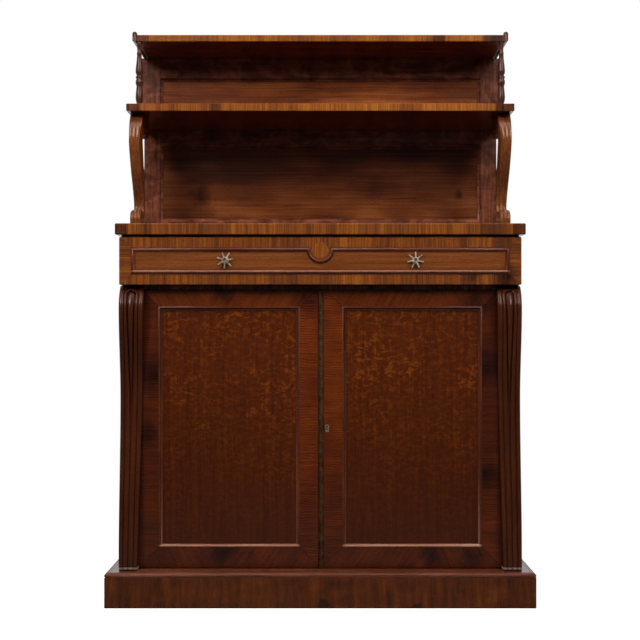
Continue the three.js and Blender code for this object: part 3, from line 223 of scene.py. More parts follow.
def ripple_tone(tree, place, pitch_mm, seed=0.0):
    """Fiddleback: fine level lines at a pitch, a little wavy, which come and go in patches."""
    bent = drifted(tree, drifted(tree, place, 80, 10), 22, 2.4)
    up = add_node(tree, SEPARATE, bent, out=2)
    turns = add_node(tree, MATH, up, 2 * math.pi / (pitch_mm * MM), operation="MULTIPLY")
    waves = add_node(tree, MATH, turns, operation="SINE")
    patches = cloud(tree, place, (45, 45, 60), 2.0, seed + 5)
    strength = add_node(tree, RANGE, patches, 0.4, 0.6, 0.1, 1.0)
    return add_node(tree, MATH, waves, strength, operation="MULTIPLY")


def knotted(tree, tone, place, knots, darker):
    """A tone with ragged dark knots: each is its X, its height and its reach in millimetres."""
    wide_mm, fine_mm = 16, 4
    ragged = drifted(tree, drifted(tree, place, 40, wide_mm), 11, fine_mm)
    # The noise is a half on average, so the drifts move every place on by their sum.
    moved_mm = wide_mm + fine_mm
    darkest = 0.0
    for across_mm, up_mm, reach_mm in knots:
        away = flat_distance(tree, ragged, (across_mm + moved_mm) * MM, (up_mm + moved_mm) * MM)
        dark = add_node(tree, RANGE, away, 0.1 * reach_mm * MM, 1.1 * reach_mm * MM, 1.0, 0.0)
        darkest = add_node(tree, MATH, dark, darkest, operation="MAXIMUM")
    return add_node(tree, MATH, darkest, -darker, tone, operation="MULTIPLY_ADD")


GLUE_LINE_SHARE = 0.022
GLUE_LINE_SHADE = 0.55


def mitred_border(tree, place, middle, half, width):
    """A border with mitred corners round a window: where it is, where it is upright, its joints.

    Half the window's size is given across and up.
    """
    away = add_node(tree, VECTOR, place, middle, operation="SUBTRACT")
    away = add_node(tree, VECTOR, away, operation="ABSOLUTE")
    beyond = add_node(tree, VECTOR, away, (half[0], 1.0, half[1]), operation="SUBTRACT")
    beyond = add_node(tree, VECTOR, beyond, (width,) * 3, operation="DIVIDE")
    beside, _, over = add_node(tree, SEPARATE, beyond).node.outputs
    furthest = add_node(tree, MATH, beside, over, operation="MAXIMUM")
    inside = add_node(tree, MATH, furthest, 0.0, operation="GREATER_THAN")
    upright = add_node(tree, MATH, beside, over, operation="GREATER_THAN")
    joint = add_node(tree, MATH, beside, over, GLUE_LINE_SHARE, operation="COMPARE")
    joint = add_node(tree, MATH, joint, inside, operation="MULTIPLY")
    return inside, upright, add_node(tree, RANGE, joint, 0.0, 1.0, 1.0, GLUE_LINE_SHADE)


def clouded(tree, tone, low, high, *cloud_settings):
    """A tone with slow clouds over it, which change it by between low and high."""
    drift = add_node(tree, RANGE, cloud(tree, *cloud_settings), 0.3, 0.7, low, high)
    return add_node(tree, MATH, tone, drift, operation="ADD")


# Finishes


def polished(tree, place, tone, stops, pores, dullness=0.2, joints=1.0, top_light_share=0.0, second=None):
    """French polish over wood, built up by hand with a rubber of shellac over many years.

    To the eye: clear depth over the figure, filled pores as short dark ticks, dark beeswax and
    painted shade in the corners, arrises worn paler with painted glints along them, and a gloss
    that dulls in patches where hands and cloths went.
    Joints is a shade that is darker along glue lines. The share given for light from above is the
    share by which faces that look up are painted paler and those that look down painted darker:
    painted light and shade. A second wood is a mask and its own stops.
    """
    colour = add_node(tree, RAMP, tone, stops=stops)
    if second:
        mask, other_stops = second
        other = add_node(tree, RAMP, tone, stops=other_stops)
        sockets = {"Factor": mask, "A": colour, "B": other}
        colour = add_node(tree, MIX, sockets=sockets, out="Result", data_type="RGBA")
    pore = cloud(tree, place, lumps_along(pores, 9, 0.9), 0.0, 31)
    pore = add_node(tree, RANGE, pore, 0.34, 0.44, 0.74, 1.0)
    # Painted shade: the colour is darkened in the corners that ambient occlusion finds, along with
    # the dark beeswax there.
    corner = add_node(tree, AO, None, 10 * MM, samples=6, out="AO")
    wax_and_shade = add_node(tree, RANGE, corner, 0.25, 0.85, 0.3, 1.0)
    # Arrises painted paler where ambient occlusion from inside finds them: worn edges, and a
    # painted highlight for the glints along them.
    arris = add_node(tree, AO, None, 1.6 * MM, samples=4, inside=True, out="AO")
    edge_wear_and_glint = add_node(tree, RANGE, arris, 0.35, 0.8, 1.35, 1.0)
    # Painted light and shade: faces that look up are painted paler, and those that look down
    # darker.
    normal = add_node(tree, "ShaderNodeNewGeometry", out="Normal")
    facing_up = add_node(tree, SEPARATE, normal, out=2)
    top_light_shade = add_node(tree, MATH, facing_up, top_light_share, 1.0, operation="MULTIPLY_ADD")
    for factor in (pore, wax_and_shade, edge_wear_and_glint, joints, top_light_shade):
        colour = add_node(tree, VECTOR, colour, sockets={"Scale": factor}, operation="SCALE")
    # Roughness only: patches of duller gloss where hands and cloths went.
    rubbed_and_highlight = cloud(tree, place, (75, 75, 75), 1.0, 13)
    rough = add_node(tree, RANGE, rubbed_and_highlight, 0.3, 0.7, dullness - 0.03, dullness + 0.04)
    height = add_node(tree, MIX, 0.4, None, pore, tone)
    shellac = {"IOR": 1.5, "Specular IOR Level": 0.26}
    end_material(tree, colour, rough, height, 0.12, 0.15, shellac)


def wood_stops(*colours, places=(0.0, 0.4, 0.7, 1.0)):
    """A wood's colours along its tone, from its dark lines to its light ones."""
    return tuple(zip(places, colours))


BAND_STOPS = wood_stops(
    "#1e0d04", "#4a2410", "#66371a", "#84481a", "#a2601f", "#d09048",
    places=(0.0, 0.25, 0.42, 0.56, 0.72, 1.0),
)
FIELD_STOPS = wood_stops("#4a2209", "#733d1b", "#8b5026", "#a46633")
SHELF_STOPS = wood_stops("#33140b", "#642d1a", "#823f28", "#9b5636")
DOOR_STOPS = wood_stops(
    "#170603", "#38140a", "#5c250a", "#7e3a0c", "#a4581a", places=(0.0, 0.25, 0.5, 0.75, 1.0)
)
PANEL_STOPS = wood_stops(
    "#1d0803", "#431805", "#5c2707", "#86450d", "#ba7226", places=(0.0, 0.3, 0.5, 0.72, 1.0)
)
BACK_PLACES = (0.0, 0.4, 0.65, 1.0)
BACK_STOPS = wood_stops("#2a0f06", "#5a2a12", "#763d1c", "#9c5e2e", places=BACK_PLACES)
# Painted light: the upper back panel's stops are brighter than the lower panel's, for the light it
# gets.
UPPER_BACK_LIT_STOPS = wood_stops("#401b0c", "#83421e", "#a65c2c", "#cb8145", places=BACK_PLACES)
BACK_FRAME_STOPS = wood_stops("#34150c", "#693725", "#8b5138", "#ab6b4d")
PLINTH_STOPS = wood_stops("#311304", "#572709", "#6b330e", "#81481c")
SIDE_STOPS = wood_stops("#2a0e06", "#542410", "#6f381b", "#8a4e29")
CARVED_STOPS = wood_stops("#1d0a03", "#421c0a", "#582a13", "#764325")
TURNED_STOPS = wood_stops("#1c0a06", "#412017", "#593223", "#744735")
SCROLL_STOPS = wood_stops("#351607", "#6f3b1a", "#91542a", "#b47846")
MOULD_STOPS = wood_stops("#260d06", "#502413", "#6b3820", "#8a5236")
LEDGE_STOPS = wood_stops("#3c180d", "#743c28", "#8d5139", "#a76b50")
# Painted highlights: pale stops for the lowest run of a bead and of a pilaster's toe, where they
# face the light.
PAINTED_HIGHLIGHT_STOPS = wood_stops("#6c4234", "#90604a", "#b48670", places=(0.0, 0.5, 1.0))
TOE_HIGHLIGHT_STOPS = wood_stops("#a8877c", "#cfb3a7", "#e2cec4", places=(0.0, 0.5, 1.0))
TIMBER_STOPS = wood_stops("#5a3c22", "#7d5b38", "#98754c", "#b39064")


# Dark leaves in the front edges: the X of the middle and half the width, in millimetres.
MIDDLE_DARK_LEAVES = [(-278, 13), (479, 11)]
TOP_DARK_LEAVES = [(327, 16), (474, 27)]
LEAF_CHANGE = -0.26
EDGE_SKIN = 2.5 * MM
END_LEAVES = 34 * MM
END_CHANGE = -0.22


def banded_board(name, node, border_mm, leaf_mm, seed, band_lift_and_glare=0.0, dark_leaves=()):
    """Mahogany board in knife-cut veneer, hammer laid: long grain with cross-banded edges.

    To the eye: short upright leaves of gold, brown and rose along its edges, fine lines in each,
    darker leaves at its two ends, and long red-brown grain on its faces.
    """
    low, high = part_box(node)
    material, tree, place = new_material(name)
    across, back, up = add_node(tree, SEPARATE, place).node.outputs
    from_front = add_node(tree, MATH, back, low[1], operation="SUBTRACT")
    reach = add_node(tree, MATH, across, operation="ABSOLUTE")
    from_end = add_node(tree, MATH, high[0], reach, operation="SUBTRACT")
    at_end = add_node(tree, MATH, from_end, from_front, operation="LESS_THAN")
    nearest = add_node(tree, MATH, from_end, from_front, operation="MINIMUM")
    near_edge = add_node(tree, MATH, nearest, border_mm * MM, operation="LESS_THAN")
    edge_face = add_node(tree, MATH, nearest, EDGE_SKIN, operation="LESS_THAN")
    over = add_node(tree, MATH, up, low[2] + EDGE_SKIN, operation="GREATER_THAN")
    in_border = add_node(tree, MATH, near_edge, over, operation="MULTIPLY")
    in_border = add_node(tree, MATH, in_border, edge_face, operation="MAXIMUM")
    front_band = leaf_tone(tree, place, "x", leaf_mm, seed)
    at_ends = add_node(tree, MATH, from_end, END_LEAVES, operation="LESS_THAN")
    front_band = add_node(tree, MATH, at_ends, END_CHANGE, front_band, operation="MULTIPLY_ADD")
    for middle_mm, half_mm in dark_leaves:
        dark = add_node(tree, MATH, across, middle_mm * MM, half_mm * MM, operation="COMPARE")
        front_band = add_node(tree, MATH, dark, LEAF_CHANGE, front_band, operation="MULTIPLY_ADD")
    end_band = leaf_tone(tree, place, "y", leaf_mm, seed + 5)
    band = add_node(tree, MIX, at_end, None, front_band, end_band)
    # The band is lifted paler by a share: partly its own paler leaves, partly a painted reflection
    # of glare on the edge.
    band = add_node(tree, MATH, band, band_lift_and_glare, operation="ADD")
    field = grain_tone(tree, place, "x", (520, 11), (140, 2.4), seed, tones=(0.2, 0.75))
    tone = add_node(tree, MIX, in_border, None, field, band)
    polished(tree, place, tone, SHELF_STOPS, "y", second=(in_border, BAND_STOPS))
    return material


# Dark knots: X, height and reach in millimetres.
DRAWER_KNOTS = [(388, 843, 24), (480, 846, 30)]
BACK_KNOTS = [(408, 1104, 17), (-352, 1100, 34)]
DOOR_KNOTS = {
    "left": [(-252, 800, 34), (-30, 785, 46), (-432, 590, 60), (-446, 440, 40), (-250, 132, 40)],
    "right": [(404, 780, 46), (436, 610, 50), (430, 330, 46), (290, 128, 40), (395, 120, 40)],
}
PLINTH_CHIPS = [(7, 7, 14), (243, 7, 13)]
BEAD_COVER = 4 * MM
LOBE_RADIUS = 20 * MM
LOBE_DROP = 6.5 * MM


def drawer_veneer():
    """Mahogany drawer front: straight long grain in the bead's field, cross-banding round it.

    To the eye: calm orange-brown lines in the field, golden upright leaves over and under it,
    level leaves at its ends with mitred corners, and a golden lobe in the middle.
    """
    low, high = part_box("drawer_moulding")
    _, face_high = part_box("drawer_front")
    material, tree, place = new_material("drawer_front_veneer")
    half = ((high[0] - low[0]) / 2 - BEAD_COVER, (high[2] - low[2]) / 2 - BEAD_COVER)
    border = face_high[2] - high[2] + BEAD_COVER
    outside, upright, joints = mitred_border(tree, place, (low + high) / 2, half, border)
    from_lobe = flat_distance(tree, place, 0.0, high[2] - LOBE_DROP)
    lobe = add_node(tree, MATH, from_lobe, LOBE_RADIUS, operation="LESS_THAN")
    outside = add_node(tree, MATH, outside, lobe, operation="MAXIMUM")
    over = leaf_tone(tree, place, "x", 17, 11)
    beside = leaf_tone(tree, place, "z", 15, 12)
    band = add_node(tree, MIX, upright, None, over, beside)
    lobe_grain = grain_tone(tree, place, "yz", (200, 5), (90, 1.8), 2, tones=(0.36, 0.8))
    band = add_node(tree, MIX, lobe, None, band, lobe_grain)
    band = add_node(tree, MATH, band, -0.02, operation="ADD")
    field = grain_tone(tree, place, "x", (420, 7), (150, 1.8), 14, 0.5, tones=(0.24, 0.72))
    tone = add_node(tree, MIX, outside, None, field, band)
    tone = knotted(tree, tone, place, DRAWER_KNOTS, 0.3)
    polished(tree, place, tone, FIELD_STOPS, "x", joints=joints, second=(outside, BAND_STOPS))
    return material


DOOR_SEEDS = {"left": 1, "right": 6}
RIPPLE_PITCH_MM = 6.6


def door_frame_veneer(label, seed):
    """Mahogany door frame: saw-cut cross-grain veneer, mitred at the panel's corners.

    To the eye: orange-red, with fine wavy level lines on the stiles, lines that slant to a V on
    the rails, dark purple knots, and hinge stiles that are darker than the meeting ones.
    """
    low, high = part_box(f"door_{label}_moulding")
    hinge_low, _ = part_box(f"door_{label}_hinge_stile")
    rail_low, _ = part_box(f"door_{label}_bottom_rail")
    material, tree, place = new_material(f"door_frame_veneer_{label}")
    middle = (low + high) / 2
    half = ((high[0] - low[0]) / 2, (high[2] - low[2]) / 2)
    _, upright, joints = mitred_border(tree, place, middle, half, low[2] - rail_low[2])
    across, _, up = add_node(tree, SEPARATE, place).node.outputs
    hand = 1 if hinge_low[0] < middle[0] else -1
    inward = add_node(tree, MATH, across, -middle[0], operation="ADD")
    inward = add_node(tree, MATH, inward, hand, operation="MULTIPLY")
    meeting = add_node(tree, MATH, inward, 0.0, operation="GREATER_THAN")

    stile = grain_tone(tree, place, "xy", (130, 9), (90, 2.2), seed, 0.5, tones=(0.22, 0.78))
    ripple = ripple_tone(tree, place, RIPPLE_PITCH_MM, seed)
    ripple_share = add_node(tree, RANGE, inward, -20 * MM, 20 * MM, 0.1, 0.28)
    stile = add_node(tree, MATH, ripple, ripple_share, stile, operation="MULTIPLY_ADD")
    hinge_change = add_node(tree, RANGE, up, 0.12, 0.42, -0.04, -0.3)
    meeting_change = add_node(tree, RANGE, up, 0.2, 0.5, -0.18, 0.1)
    stile_change = add_node(tree, MIX, meeting, None, hinge_change, meeting_change)
    stile = add_node(tree, MATH, stile, stile_change, operation="ADD")

    left_lines = grain_tone(tree, place, "yz", (90, 7), (80, 2.4), seed + 3, 0.4, -28)
    right_lines = grain_tone(tree, place, "yz", (90, 7), (80, 2.4), seed + 4, 0.4, 32)
    past_v = add_node(tree, RANGE, inward, -62 * MM, -50 * MM)
    rail = add_node(tree, MIX, past_v, None, left_lines, right_lines)
    rail = add_node(tree, RANGE, rail, 0.0, 1.0, 0.25, 0.75)
    rail_change = add_node(tree, RANGE, up, 0.3, 0.6, -0.2, 0.12)
    rail = add_node(tree, MATH, rail, rail_change, operation="ADD")

    tone = add_node(tree, MIX, upright, None, rail, stile)
    tone = clouded(tree, tone, -0.2, 0.14, place, (75, 75, 75), 2.0, seed + 9)
    tone = add_node(tree, RANGE, tone, 0.0, 1.0, 0.3, 0.72)
    tone = knotted(tree, tone, place, DOOR_KNOTS[label], 0.3)
    polished(tree, place, tone, DOOR_STOPS, "x", joints=joints)
    return material


def blistered_panel():
    """Plum-pudding mahogany door panels, saw-cut and book matched.

    To the eye: orange blisters and curls, wider than high, that crowd the upper half and thin out
    to plain upright ribbons lower down, over a dark red-brown ground.
    """
    material, tree, place = new_material("blistered_panel_veneer")
    bent = drifted(tree, place, 34, 9)
    blister = cloud(tree, bent, (17, 17, 10), 1.0, 2, 0.6)
    blister = add_node(tree, RANGE, blister, 0.46, 0.62)
    curl = cloud(tree, bent, (18, 18, 10), 0.5, 5, 1.2)
    curl = add_node(tree, MATH, curl, 0.52, operation="SUBTRACT")
    curl = add_node(tree, MATH, curl, operation="ABSOLUTE")
    curl = add_node(tree, RANGE, curl, 0.0, 0.05, 1.0, 0.0)
    figure = add_node(tree, MATH, curl, 0.7, blister, operation="MULTIPLY_ADD")
    patches = cloud(tree, place, (85, 85, 70), 2.0, 6)
    patches = add_node(tree, RANGE, patches, 0.38, 0.62, 0.5, 1.0)
    up = add_node(tree, SEPARATE, place, out=2)
    height = add_node(tree, RANGE, up, 0.2, 0.6, 0.22, 1.0)
    strength = add_node(tree, MATH, patches, height, operation="MULTIPLY")
    ground = grain_tone(tree, place, "z", (420, 8), (150, 2.4), 8, 0.5, tones=(0.22, 0.4))
    # Painted shade: the ground is painted lighter towards the top and darker towards the bottom,
    # beyond the lamps' own fall-off.
    ground = add_node(tree, MATH, height, 0.07, ground, operation="MULTIPLY_ADD")
    strength = add_node(tree, MATH, strength, 0.21, operation="MULTIPLY")
    tone = add_node(tree, MATH, figure, strength, ground, operation="MULTIPLY_ADD")
    polished(tree, place, tone, PANEL_STOPS, "z")
    return material


BACK_STILE_WIDTH = 58 * MM


def back_frame_veneer():
    """Mahogany frame of the back: upright grain on its stiles, level grain on its rails.

    To the eye: greyer and rosier than the rest, mottled in clouds like burr.
    """
    _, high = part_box("back_frame")
    material, tree, place = new_material("back_frame_veneer")
    reach = add_node(tree, MATH, add_node(tree, SEPARATE, place), operation="ABSOLUTE")
    stile = add_node(tree, MATH, reach, high[0] - BACK_STILE_WIDTH, operation="GREATER_THAN")
    upright = grain_tone(tree, place, "z", (160, 9), (60, 2.2), 3)
    level = grain_tone(tree, place, "x", (360, 10), (120, 2.2), 5)
    tone = add_node(tree, MIX, stile, None, level, upright)
    tone = add_node(tree, RANGE, tone, 0.0, 1.0, 0.25, 0.75)
    tone = clouded(tree, tone, -0.32, 0.22, place, (46, 46, 34), 3.0, 21, 0.8)
    # Its upward faces are painted paler and its downward ones darker: painted light and shade.
    polished(tree, place, tone, BACK_FRAME_STOPS, "z", dullness=0.22, top_light_share=0.45)
    return material


def plinth_veneer():
    """Mahogany plinth in plain upright veneer, dulled by mops and knocked by shoes.

    To the eye: olive brown with a soft upright mottle and two small dark chips at its foot.
    """
    material, tree, place = new_material("plinth_veneer")
    tone = grain_tone(tree, place, "z", (110, 15), (80, 3), 2, 0.3)
    tone = clouded(tree, tone, -0.22, 0.18, place, (50, 50, 26), 3.0, 11, 0.5)
    tone = add_node(tree, RANGE, tone, 0.0, 1.0, 0.15, 0.85)
    tone = knotted(tree, tone, place, PLINTH_CHIPS, 0.9)
    polished(tree, place, tone, PLINTH_STOPS, "z", dullness=0.34)
    return material


def solid_wood(
    name, lie, stops, streak_mm, line_mm, seed, mottle, calm,
    dullness=0.2, top_light_share=0.0, rubbed_and_highlight=None, knots=(),
):
    """Solid mahogany, planed, carved or turned, and polished with the rest.

    To the eye: straight grain that follows the piece, calmer the nearer calm is to 1, with slow
    clouds of tone over it, up to mottle. Where a run of it is painted pale as a painted highlight,
    the setting for it gives the height of the run's middle, half its height, and its own stops.
    """
    material, tree, place = new_material(name)
    tones = (0.5 * calm, 1 - 0.5 * calm)
    tone = grain_tone(tree, place, lie, streak_mm, line_mm, seed, tones=tones)
    lumps = lumps_along(lie, 190, 90)
    tone = clouded(tree, tone, -mottle, mottle, place, lumps, 2.0, seed + 9)
    if knots:
        tone = knotted(tree, tone, place, knots, 0.5)
    pale = None
    if rubbed_and_highlight:
        middle, half, highlight_stops = rubbed_and_highlight
        up = add_node(tree, SEPARATE, place, out=2)
        pale = (add_node(tree, MATH, up, middle, half, operation="COMPARE"), highlight_stops)
    polished(tree, place, tone, stops, lie, dullness, top_light_share=top_light_share, second=pale)
    return material


def bare_timber(name, lie, seed):
    """Planed pine and oak of the inside, never polished.

    To the eye: dry, pale tan, painted darker in the corners as shade, open in the grain, with no
    gloss.
    """
    material, tree, place = new_material(name)
    tone = grain_tone(tree, place, lie, (600, 16), (160, 2.6), seed)
    tone = clouded(tree, tone, -0.2, 0.15, place, (120, 120, 120), 3.0, seed + 2)
    colour = add_node(tree, RAMP, tone, stops=TIMBER_STOPS)
    # Painted shade: darker in the corners that ambient occlusion finds.
    corner = add_node(tree, AO, None, 30 * MM, samples=6, out="AO")
    corner_shade = add_node(tree, RANGE, corner, 0.2, 0.9, 0.55, 1.0)
    colour = add_node(tree, VECTOR, colour, sockets={"Scale": corner_shade}, operation="SCALE")
    rough = add_node(tree, RANGE, tone, 0.0, 1.0, 0.8, 0.66)
    end_material(tree, colour, rough, tone, 0.4, 0.3, {"Specular IOR Level": 0.25})
    return material


def metal(name, bright, dull, dullness, patina_mm, grime=0.5, boss=None):
    """Cast or drawn metal fittings, once lacquered and now bare.

    To the eye: bright where fingers and dusters reach, dull patina in patches and in the corners,
    with the fine pits of the casting or the draw. A boss, given as its distance from the middle,
    its height and its reach, keeps its patina.
    """
    material, tree, place = new_material(name)
    patch = cloud(tree, place, (patina_mm,) * 3, 4.0, 3)
    corner = add_node(tree, AO, None, 4 * MM, samples=6, out="AO")
    grimy = add_node(tree, RANGE, corner, 0.35, 0.9, grime, 0.0)
    tone = add_node(tree, RANGE, patch, 0.3, 0.7)
    tone = add_node(tree, MATH, tone, grimy, operation="SUBTRACT")
    if boss:
        across, height, reach = boss
        mirrored = add_node(tree, VECTOR, place, operation="ABSOLUTE")
        away = flat_distance(tree, mirrored, across, height)
        kept = add_node(tree, RANGE, away, 0.7 * reach, reach, 0.9, 0.0)
        tone = add_node(tree, MATH, tone, kept, operation="SUBTRACT")
    colour = add_node(tree, RAMP, tone, stops=((0.0, dull), (1.0, bright)))
    rough = add_node(tree, RANGE, tone, 0.0, 1.0, dullness + 0.2, dullness)
    pits = cloud(tree, place, (0.9, 0.9, 0.9), 1.0, 8)
    end_material(tree, colour, rough, pits, 0.2, 0.05, {"Metallic": 1.0})
    return material


def bead_wood(name, node, middle_mm, half_mm):
    """Bead or moulding in the solid, whose lowest run is painted pale along a line: a painted
    highlight.
    """
    rubbed_and_highlight = (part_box(node)[0][2] + middle_mm * MM, half_mm * MM, PAINTED_HIGHLIGHT_STOPS)
    return solid_wood(
        name, "xz", MOULD_STOPS, (160, 9), (60, 2.0),
        seed=7, mottle=0.08, calm=0.7, top_light_share=0.85, rubbed_and_highlight=rubbed_and_highlight,
    )


# Painted highlight: each bead's lowest run is painted pale in a line where it faces the light.
bead_finish = bead_wood("door_bead_hardwood", "door_left_moulding", 4.6, 2.9)
drawer_bead_finish = bead_wood("drawer_bead_hardwood", "drawer_moulding", 7.8, 2.4)
side_finish = solid_wood(
    "side_veneer", "z", SIDE_STOPS, (520, 14), (140, 2.4),
    seed=4, mottle=0.2, calm=0.3, dullness=0.24,
)
ledge_finish = solid_wood(
    "ledge_hardwood", "x", LEDGE_STOPS, (420, 8), (120, 2.0), seed=6, mottle=0.12, calm=0.5
)
# Painted highlight: the pilaster's toe is painted pale along its lowest run, where it faces the
# light.
toe_highlight_run = (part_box("pilaster_left")[0][2] + 5 * MM, 4 * MM, TOE_HIGHLIGHT_STOPS)
pilaster_finish = solid_wood(
    "pilaster_hardwood", "z", CARVED_STOPS, (600, 4), (160, 2.0),
    seed=9, mottle=0.1, calm=0.8, top_light_share=0.85, rubbed_and_highlight=toe_highlight_run,
)
turned_finish = solid_wood(
    "turned_hardwood", "z", TURNED_STOPS, (160, 7), (60, 1.8),
    seed=19, mottle=0.1, calm=0.5, dullness=0.18,
)
scroll_finish = solid_wood(
    "scroll_hardwood", "z", SCROLL_STOPS, (260, 6), (90, 2.0),
    seed=10, mottle=0.12, calm=0.6, dullness=0.18,
)
back_finish = solid_wood(
    "back_veneer", "x", BACK_STOPS, (700, 6), (260, 2.4),
    seed=12, mottle=0.26, calm=0.65, dullness=0.22, knots=BACK_KNOTS,
)
# The upper back panel in its own veneer, painted brighter than the lower one: painted light.
upper_back_lit_finish = solid_wood(
    "upper_back_lit_veneer", "x", UPPER_BACK_LIT_STOPS, (500, 7), (260, 2.4),
    seed=27, mottle=0.24, calm=0.55, dullness=0.22,
)
timber_level = bare_timber("bare_timber_level", "x", seed=1)
timber_upright = bare_timber("bare_timber_upright", "z", seed=3)
timber_deep = bare_timber("bare_timber_deep", "y", seed=5)
aged_brass = metal("aged_brass", "#dcc9a0", "#5a4a2c", dullness=0.3, patina_mm=3)
star_low, star_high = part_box("star_knob_right")
star_middle = (star_low + star_high) / 2
star_boss = (star_middle.x, star_middle.z, 5 * MM)
star_brass = metal(
    "star_brass", "#fff2dc", "#5a5034", dullness=0.34, patina_mm=8, grime=0.1, boss=star_boss
)
dark_brass = metal("dark_brass", "#6a4c34", "#36261a", dullness=0.42, patina_mm=12)
worn_steel = metal("worn_steel", "#a7a49c", "#4d4a45", dullness=0.35, patina_mm=5)

SLOT_FINISH = {
    "figured_veneer": side_finish,
    "secondary_wood": timber_level,
    "moulding_hardwood": bead_finish,
    "carved_hardwood": pilaster_finish,
    "door_panel_veneer": blistered_panel(),
    "back_frame_veneer": back_frame_veneer(),
    "back_panel_veneer": back_finish,
    "aged_brass": aged_brass,
    "dark_brass": dark_brass,
    "steel": worn_steel,
}
NODE_FINISH = {
    "plinth_moulding": ledge_finish,
    "carcase_bottom": ledge_finish,
    "carcase_back": timber_upright,
    "drawer_front": drawer_veneer(),
    "drawer_moulding": drawer_bead_finish,
    "back_panel_upper": upper_back_lit_finish,
    "top_slab": banded_board("top_slab_veneer", "top_slab", border_mm=42, leaf_mm=21, seed=2),
    # The shelves' bands are lifted paler than the slab's: partly paler leaves, partly painted
    # glare.
    "shelf_middle": banded_board(
        "middle_shelf_veneer", "shelf_middle",
        border_mm=26, leaf_mm=17, seed=8, band_lift_and_glare=0.09, dark_leaves=MIDDLE_DARK_LEAVES,
    ),
    "shelf_top": banded_board(
        "top_shelf_veneer", "shelf_top",
        border_mm=26, leaf_mm=15, seed=15, band_lift_and_glare=0.08, dark_leaves=TOP_DARK_LEAVES,
    ),
}
NODE_FINISH |= dict.fromkeys(("plinth_front", "plinth_left", "plinth_right"), plinth_veneer())
PAIR_FINISH = {
    "drawer_runner": timber_deep,
    "shelf_batten": timber_deep,
    "drawer_side": timber_deep,
    "star_knob": star_brass,
    "scroll_support": scroll_finish,
    "spindle": turned_finish,
    "shelf_ear": turned_finish,
}
for pair, finish in PAIR_FINISH.items():
    NODE_FINISH |= dict.fromkeys((f"{pair}_left", f"{pair}_right"), finish)
door_finish = {label: door_frame_veneer(label, seed) for label, seed in DOOR_SEEDS.items()}


def finish_of(node):
    if NODE_SLOT[node] == "door_frame_veneer":
        return door_finish["left" if "left" in node else "right"]
    return NODE_FINISH.get(node) or SLOT_FINISH[NODE_SLOT[node]]


for node in NODE_SLOT:
    for entry in frame["nodes"][node].material_slots:
        entry.material = finish_of(node)


# Pieces that stand for a CAD node


def stand_for(piece, node):
    """Rides a piece on its node's body, in its node's place and finish."""
    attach(piece, NODE_BODY[node])
    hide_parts(node)


def new_object(name, data):
    new = bpy.data.objects.new(name, data)
    bpy.context.collection.objects.link(new)
    return new


def mesh_from(made, name):
    """A mesh of that name from a finished bmesh, which is let go."""
    mesh = bpy.data.meshes.new(name)
    made.to_mesh(mesh)
    made.free()
    return mesh


def shade_by_angle(made, crease_degrees):
    """Smooth faces, with sharp edges where the surface turns by more than the crease."""
    crease = math.radians(crease_degrees)
    for face in made.faces:
        face.smooth = True
    for edge in made.edges:
        edge.smooth = edge.is_manifold and edge.calc_face_angle(0.0) < crease


def smooth_copy(node, name, crease_degrees=38, ease_mm=0.0):
    """A copy of a CAD node with its triangles joined, its curves smooth and its arrises eased."""
    made = bmesh.new()
    made.from_mesh(frame["nodes"][node].data)
    bmesh.ops.remove_doubles(made, verts=made.verts, dist=0.02 * MM)
    flat = math.radians(0.5)
    bmesh.ops.dissolve_limit(made, angle_limit=flat, verts=made.verts, edges=made.edges)
    shade_by_angle(made, crease_degrees)
    mesh = mesh_from(made, name)
    piece = new_object(name, mesh)
    mesh.materials.append(finish_of(node))
    if ease_mm:
        bevel = piece.modifiers.new("eased_arrises", "BEVEL")
        bevel.width = ease_mm * MM
        bevel.segments = 2
        bevel.limit_method = "ANGLE"
        bevel.angle_limit = math.radians(40)
        bevel.harden_normals = True
    stand_for(piece, node)
    return piece


# The carved pilaster: the same rule as its solid's, drawn finer, with round reeds. Its head is
# widest, its setbacks are from the front of the whole, and the loop is carved down its middle.
OUTER_X = 517.5 * MM
HEAD_WIDTH = 62 * MM
FOOT_WIDTH = 47 * MM
FOOT_Z = 90.3 * MM
TOE_Z = 106.3 * MM
WAIST_Z = 535 * MM
BULGE_Z = 765 * MM
HEAD_Z = 823.2 * MM
ARCH_Z = 798.7 * MM
LOOP_FOOT_Z = 430 * MM
TOE_SETBACK = 20 * MM
TOE_DEPTH = 6 * MM
WAIST_SETBACK = 45 * MM
BULGE_SETBACK = 20 * MM
HEAD_SETBACK = 45 * MM
LOOP_RADIUS = 9.6 * MM
LOOP_GROOVE_WIDTHS = (2.6 * MM, 4.8 * MM)
LOOP_GROOVE_DEPTHS = (4 * MM, 8 * MM)
REED_LINE_PLACES = (13 * MM, 18.5 * MM)
REED_LINE_DEPTH = 3.4 * MM
REED_EDGE_DROP = 3 * MM
REED_SHOULDER_DROP = 1.6 * MM
TONGUE_DROP = 1.6 * MM
TONGUE_CROWN = 1.2 * MM
FRONT_Y = cad_bounds[0][1]


def ease_in_out(share):
    return share * share * (3 - 2 * share)


def share_between(value, start, end):
    return min(1.0, max(0.0, (value - start) / (end - start)))


def pilaster_setback(height):
    """The face's setback: a rolled toe, a hollow waist, a full swell and a head that falls back."""
    if height > BULGE_Z:
        share = share_between(height, BULGE_Z, HEAD_Z)
        return blend(BULGE_SETBACK, HEAD_SETBACK, share * share)
    if height > WAIST_Z:
        share = share_between(height, WAIST_Z, BULGE_Z)
        return blend(WAIST_SETBACK, BULGE_SETBACK, ease_in_out(share))
    if height > TOE_Z:
        share = share_between(height, TOE_Z, WAIST_Z)
        return blend(TOE_SETBACK, WAIST_SETBACK, ease_in_out(share))
    share = share_between(height, TOE_Z, FOOT_Z)
    return TOE_SETBACK + TOE_DEPTH * (1 - math.sqrt(1 - share * share))


